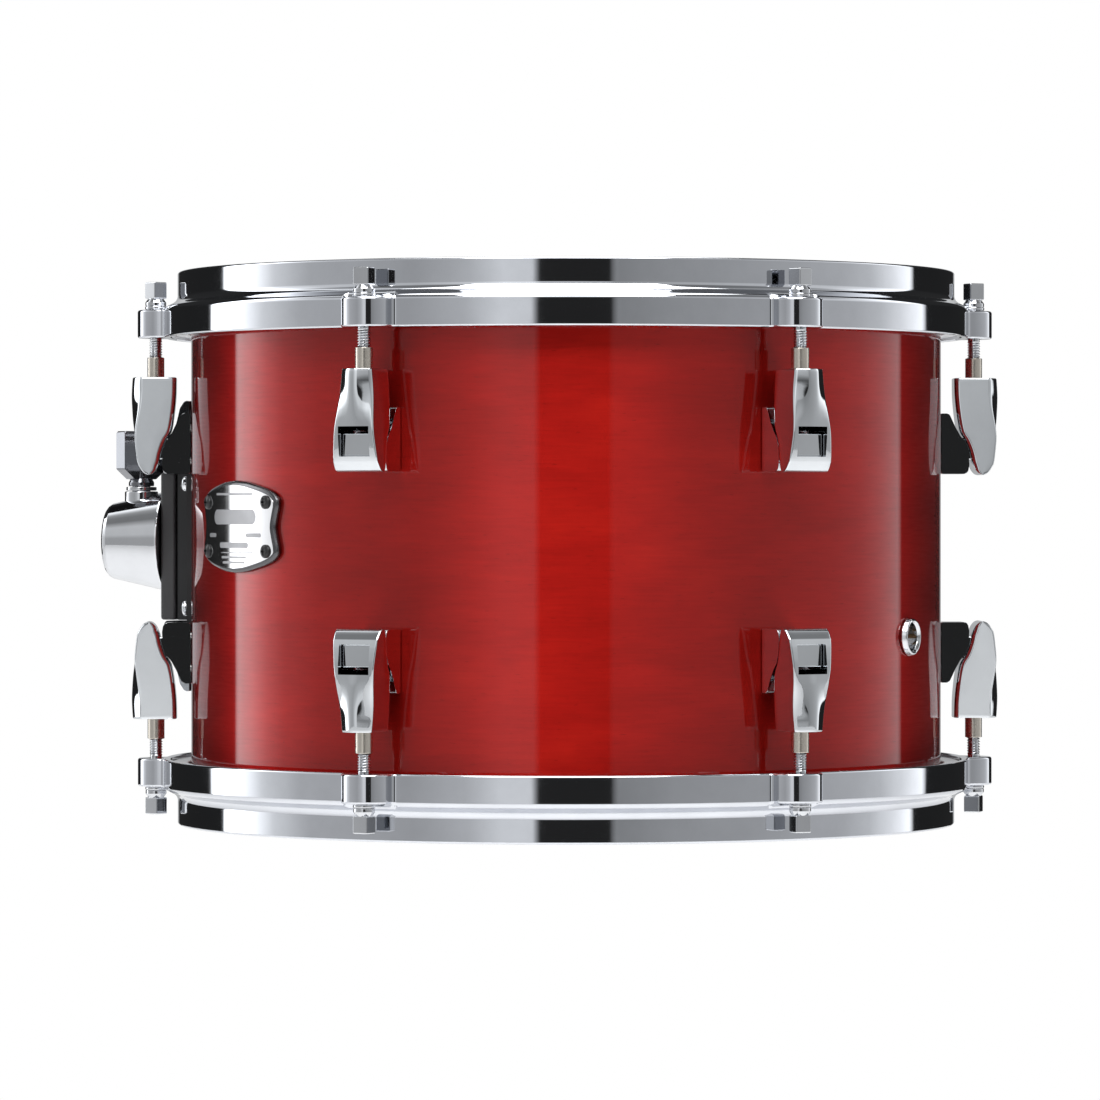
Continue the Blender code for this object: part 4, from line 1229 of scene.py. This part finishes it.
def make_isolator():
    rubber = block((158.9 * MM, -14 * MM, -30 * MM), (165.2 * MM, 14 * MM, 30 * MM), 1.2 * MM)
    saddle = block((152 * MM, -12.6 * MM, -30 * MM), (158.9 * MM, 12.6 * MM, 30 * MM), 0.8 * MM)
    seat = disc(SHELL_RADIUS + 2.9 * MM, -40 * MM, 40 * MM, 0, 288)
    bore = moved(disc(9.0 * MM, 140 * MM, 180 * MM, 0, 48), OUTWARDS)
    bore = moved(bore, shifted(z=RECEIVER_Z - MOUNT_Z))
    nodes = ["mount_isolator"]
    place = mount_place()
    rubber = combined(rubber, [bore.copy()])
    piece("mount_rubber", rubber, "isolator_rubber", "shell", nodes=nodes, matrix=place)
    saddle = combined(saddle, [seat, bore])
    piece("mount_saddle", saddle, "black_screws", "shell", matrix=place)


def make_receiver():
    """A tapered barrel with a round lip and a bore, and a boss for the clamp screw."""
    base = 165.5 * MM
    mouth = 190.7 * MM
    profile = [
        (9.0 * MM, mouth, 0.8 * MM),
        (12.0 * MM, mouth, 0.4 * MM),
        (13.6 * MM, mouth - 0.5 * MM, 0.8 * MM),
        (14.6 * MM, mouth - 1.3 * MM, 0.8 * MM),
        (15.4 * MM, mouth - 2.6 * MM, 1.2 * MM),
        (20.3 * MM, base + 0.8 * MM, 0.8 * MM),
        (20.3 * MM, base, 0.2 * MM),
        (9.0 * MM, base, 0.3 * MM),
    ]
    barrel = moved(turned(rounded(profile, 0, 5), 96), OUTWARDS)
    axis = shifted(x=CLAMP_RADIUS)
    top = 20.3 * MM
    boss = rounded([(0, top, 0), (6.8 * MM, top, 0.5 * MM), (6.8 * MM, 10 * MM, 0), (0, 10 * MM, 0)], 0, 4)
    whole = combined(barrel, [moved(turned(boss, 56), axis)], "UNION")
    drill = moved(disc(4.0 * MM, 2 * MM, 30 * MM, 0, 40), axis)
    half = 5.2 * MM
    pocket = moved(block((-half, -half, 2 * MM), (half, half, 15.5 * MM), 0), axis)
    whole = combined(whole, [drill, pocket])
    place = mount_place(RECEIVER_Z)
    piece("mount_barrel", whole, "chrome_trim", "shell", nodes=["mount_receiver"], matrix=place)


def make_clamp():
    x = CLAMP_RADIUS * math.cos(MOUNT_AZIMUTH)
    y = CLAMP_RADIUS * math.sin(MOUNT_AZIMUTH)
    shoe = block((-4.9 * MM, -4.9 * MM, 0), (4.9 * MM, 4.9 * MM, 3.5 * MM), 0.5 * MM)
    place = shifted(x, y, -91.8 * MM) @ around(MOUNT_AZIMUTH)
    piece("clamp_pad", shoe, "plain_steel", "clamp_shoe", nodes=["clamp_shoe"], matrix=place)
    washer = ring(4.0 * MM, 6.2 * MM, -78.9 * MM, -77.4 * MM, 0.3 * MM)
    nodes = ["clamp_washer"]
    piece("clamp_lock_washer", washer, "rod_chrome", "shell", nodes=nodes, matrix=shifted(x, y))
    stem = rounded(
        [
            (0, -66.0 * MM, 0),
            (4.0 * MM, -66.0 * MM, 0),
            (4.4 * MM, -74.0 * MM, 0.8 * MM),
            (5.2 * MM, -75.6 * MM, 0.6 * MM),
            (5.2 * MM, -77.1 * MM, 0.4 * MM),
            (3.7 * MM, -77.1 * MM, 0),
            (3.7 * MM, -88.0 * MM, 0.5 * MM),
            (0, -88.0 * MM, 0),
        ],
        0,
        4,
    )
    wing = [(-10, -54.6, 0.8), (-10, -70.1, 1.2), (-5, -74.3, 1.5), (5, -74.3, 1.5), (10, -70.1, 1.2), (10, -54.6, 0.8)]
    outline = rounded([(along * MM, z * MM, size * MM) for along, z, size in wing], 0, 5)
    wing_mesh = side_prism(outline, 3.3 * MM, 0.9 * MM)
    screw = gathered([turned(stem, 56), wing_mesh])
    place = shifted(x, y) @ around(WING_AZIMUTH)
    nodes = ["clamp_screw"]
    piece("clamp_wing_screw", screw, "wing_metal", "clamp_screw", nodes, place)


def make_mount_bolts():
    head = turned(
        rounded(
            [
                (0, 2.6 * MM, 0),
                (1.5 * MM, 2.6 * MM, 0.5 * MM),
                (3.3 * MM, 1.5 * MM, 1.0 * MM),
                (3.3 * MM, 0, 0.2 * MM),
                (1.9 * MM, 0, 0),
                (1.9 * MM, -12 * MM, 0),
                (0, -12 * MM, 0),
            ],
            0,
            4,
        ),
        40,
    )
    hexagon = [(4.2 * MM * math.cos(i * math.pi / 3), 4.2 * MM * math.sin(i * math.pi / 3)) for i in range(6)]
    nut = prism(rounded(hexagon, 0.2 * MM, 2), -3.4 * MM, 0, 0.35 * MM)
    for number, (azimuth, z) in enumerate(mount_bolt_places(), 1):
        place = around(azimuth, z) @ shifted(x=SHELL_RADIUS + 3.0 * MM) @ OUTWARDS
        node = f"mount_bolt_{number}"
        piece(f"mount_screw_{number}", head, "chrome_trim", "shell", [node], place)
        inside = around(azimuth, z) @ shifted(x=SHELL_INSIDE - 0.6 * MM) @ OUTWARDS
        piece(f"mount_nut_{number}", nut, "plain_steel", "shell", matrix=inside)


def make_drum():
    screw = screw_mesh(3.3 * MM, 2.2 * MM, 9.0 * MM)
    washer = ring(2.0 * MM, 4.6 * MM, -0.5 * MM, 0, 0.15 * MM, 40)
    meshes = {
        "hoop": hoop_mesh(),
        "flesh_hoop": flesh_hoop_mesh(),
        "rod": rod_mesh(),
        "washer": washer_mesh(),
        "lug": lug_mesh(),
        "swivel": swivel_mesh(),
        "foot": lug_foot_mesh(),
        "lug_screw": gathered([screw, washer]),
    }
    make_shell()
    make_vent()
    make_badge()
    for side in SIDES:
        make_side(side, meshes)
    make_bracket()
    make_isolator()
    make_receiver()
    make_clamp()
    make_mount_bolts()


# ---------------------------------------------------------------- studio


def make_camera():
    away = Vector((math.cos(CAMERA_AZIMUTH), math.sin(CAMERA_AZIMUTH), 0))
    right = Vector((-away.y, away.x, 0))
    place = away * CAMERA_DISTANCE + Vector((0, 0, CAMERA_HEIGHT))
    aim = -right * AIM_LEFT + Vector((0, 0, AIM_HEIGHT))
    camera = bpy.data.cameras.new("camera")
    camera.lens = LENS
    camera.sensor_width = 36.0
    obj = bpy.data.objects.new("camera", camera)
    obj.location = place
    obj.rotation_euler = (aim - place).to_track_quat("-Z", "Y").to_euler()
    bpy.context.scene.collection.objects.link(obj)
    bpy.context.scene.camera = obj


def make_floor():
    """A plain pale floor, well below the drum, which hangs by its mount. It is clear from below."""
    edit = bmesh.new()
    bmesh.ops.create_circle(edit, cap_ends=True, radius=FLOOR_RADIUS, segments=96)
    mesh = bpy.data.meshes.new("floor")
    edit.to_mesh(mesh)
    edit.free()
    material, nodes, place, connect = new_material(
        "floor", Specular_IOR_Level=0.2, Emission_Color=(1.0, 1.0, 1.0), Emission_Strength=0.42
    )
    cloud = nodes.noise(place, 1.2, 2.0)
    connect(
        Base_Color=nodes.mix(cloud, (0.90, 0.90, 0.90), (0.87, 0.87, 0.87)),
        Roughness=nodes.remap(cloud, 0.3, 0.7, 0.65, 0.8),
        Alpha=nodes.math("SUBTRACT", 1.0, nodes.add("ShaderNodeNewGeometry").outputs["Backfacing"]),
    )
    mesh.materials.append(material)
    obj = bpy.data.objects.new("floor", mesh)
    obj.location = (0, 0, CAD_BOX[0][2] - FLOOR_DROP)
    bpy.context.scene.collection.objects.link(obj)


# Brightness of the studio's side screens, by direction: degrees to the right of the camera
SCREENS = (
    (-180, 0.5), (-169, 0.5), (-166, 0.02), (-121.0, 0.02), (-119.0, 3.8), (-111, 3.2), (-103, 1.8),
    (-95, 1.0), (-80, 0.62), (-45, 0.50), (-28, 0.66), (-18, 0.98), (-9.5, 0.98), (-7.5, 0.6),
    (12.5, 0.50), (14.5, 0.34), (30, 0.43), (60, 0.51), (88, 0.62), (100, 0.78), (110, 1.15),
    (121.5, 1.8), (123.5, 0.02), (166, 0.02), (169, 0.5), (180, 0.5),
)

SCREEN_TINT = (0.97, 0.985, 1.0)

# The dark opening between the screens, in degrees to the right of the camera and above it
OPENING = (-8.5, 13.5)
OPENING_HEIGHT = 7.0


def make_world():
    """White behind the drum, a pale screen on each side, and a dark gap where the camera is."""
    world = bpy.data.worlds.new("studio")
    world.use_nodes = True
    bpy.context.scene.world = world
    tree = world.node_tree
    tree.nodes.clear()
    nodes = Nodes(tree)
    direction = nodes.add("ShaderNodeTexCoord").outputs["Generated"]
    forward = (math.cos(CAMERA_AZIMUTH), math.sin(CAMERA_AZIMUTH), 0)
    right = (-forward[1], forward[0], 0)
    ahead = nodes.vector("DOT_PRODUCT", direction, forward)
    across = nodes.vector("DOT_PRODUCT", direction, right)
    angle = nodes.math("ARCTAN2", across, ahead)
    share = nodes.remap(angle, -math.pi, math.pi)
    screens = nodes.ramp(share, [((degrees + 180) / 360, grey / 4) for degrees, grey in SCREENS])
    height = nodes.math("ARCSINE", nodes.add("ShaderNodeSeparateXYZ", {0: direction}).outputs[2])
    rise = nodes.remap(height, -math.pi / 2, math.pi / 2)
    levels = [(-90, 0.28), (-45, 0.30), (-38, 0.5), (6, 0.5), (14, 0.72), (32, 0.72), (44, 0.24), (90, 0.22)]
    level = nodes.ramp(rise, [((degrees + 90) / 180, grey) for degrees, grey in levels])
    flat = nodes.ramp(rise, [((degrees + 90) / 180, grey) for degrees, grey in ((-60, 0.22), (-38, 0.0))])
    screens = nodes.mix(1.0, screens, (4 / 3, 4 / 3, 4 / 3), "MULTIPLY")
    lit = nodes.mix(1.0, screens, level, "MULTIPLY")
    lit = nodes.mix(1.0, lit, SCREEN_TINT, "MULTIPLY")
    lit = nodes.mix(1.0, lit, flat, "ADD")
    degree = math.radians(1.0)
    left, right_end = (math.radians(side) for side in OPENING)
    inside = nodes.math(
        "MULTIPLY",
        nodes.remap(angle, left - degree, left + degree),
        nodes.remap(angle, right_end + degree, right_end - degree),
    )
    top = math.radians(OPENING_HEIGHT)
    away_from_level = nodes.math("ABSOLUTE", height)
    inside = nodes.math("MULTIPLY", inside, nodes.remap(away_from_level, top + degree, top - degree))
    lit = nodes.mix(inside, lit, (0.004, 0.004, 0.004))
    studio = nodes.add("ShaderNodeBackground", {"Color": lit, "Strength": 6.0}).outputs[0]
    white = nodes.add("ShaderNodeBackground", {"Color": (1, 1, 1, 1), "Strength": 1.0}).outputs[0]
    seen = nodes.add("ShaderNodeLightPath").outputs["Is Camera Ray"]
    both = nodes.add("ShaderNodeMixShader", {0: seen, 1: studio, 2: white}).outputs[0]
    nodes.add("ShaderNodeOutputWorld", {0: both})


def make_light(name, width, depth, energy, ahead, height):
    """A soft light above the drum, or in front of it and above, that points at the shell."""
    light = bpy.data.lights.new(name, "AREA")
    light.shape = "RECTANGLE"
    light.size = width
    light.size_y = depth
    light.energy = energy
    obj = bpy.data.objects.new(name, light)
    away = Vector((math.cos(CAMERA_AZIMUTH), math.sin(CAMERA_AZIMUTH), 0))
    obj.location = away * ahead + Vector((0, 0, height))
    aim = Vector((0, 0, AIM_HEIGHT)) - obj.location
    obj.rotation_euler = aim.to_track_quat("-Z", "Y").to_euler()
    obj.visible_camera = False
    bpy.context.scene.collection.objects.link(obj)


def make_lights():
    make_light("top_light", 1.45, 1.4, 26.0, 0.1, 1.7)
    make_light("high_light", 1.7, 0.9, 34.0, 1.35, 1.35)


make_camera()
make_drum()
make_floor()
make_world()
make_lights()
bpy.context.scene.view_settings.view_transform = "Standard"
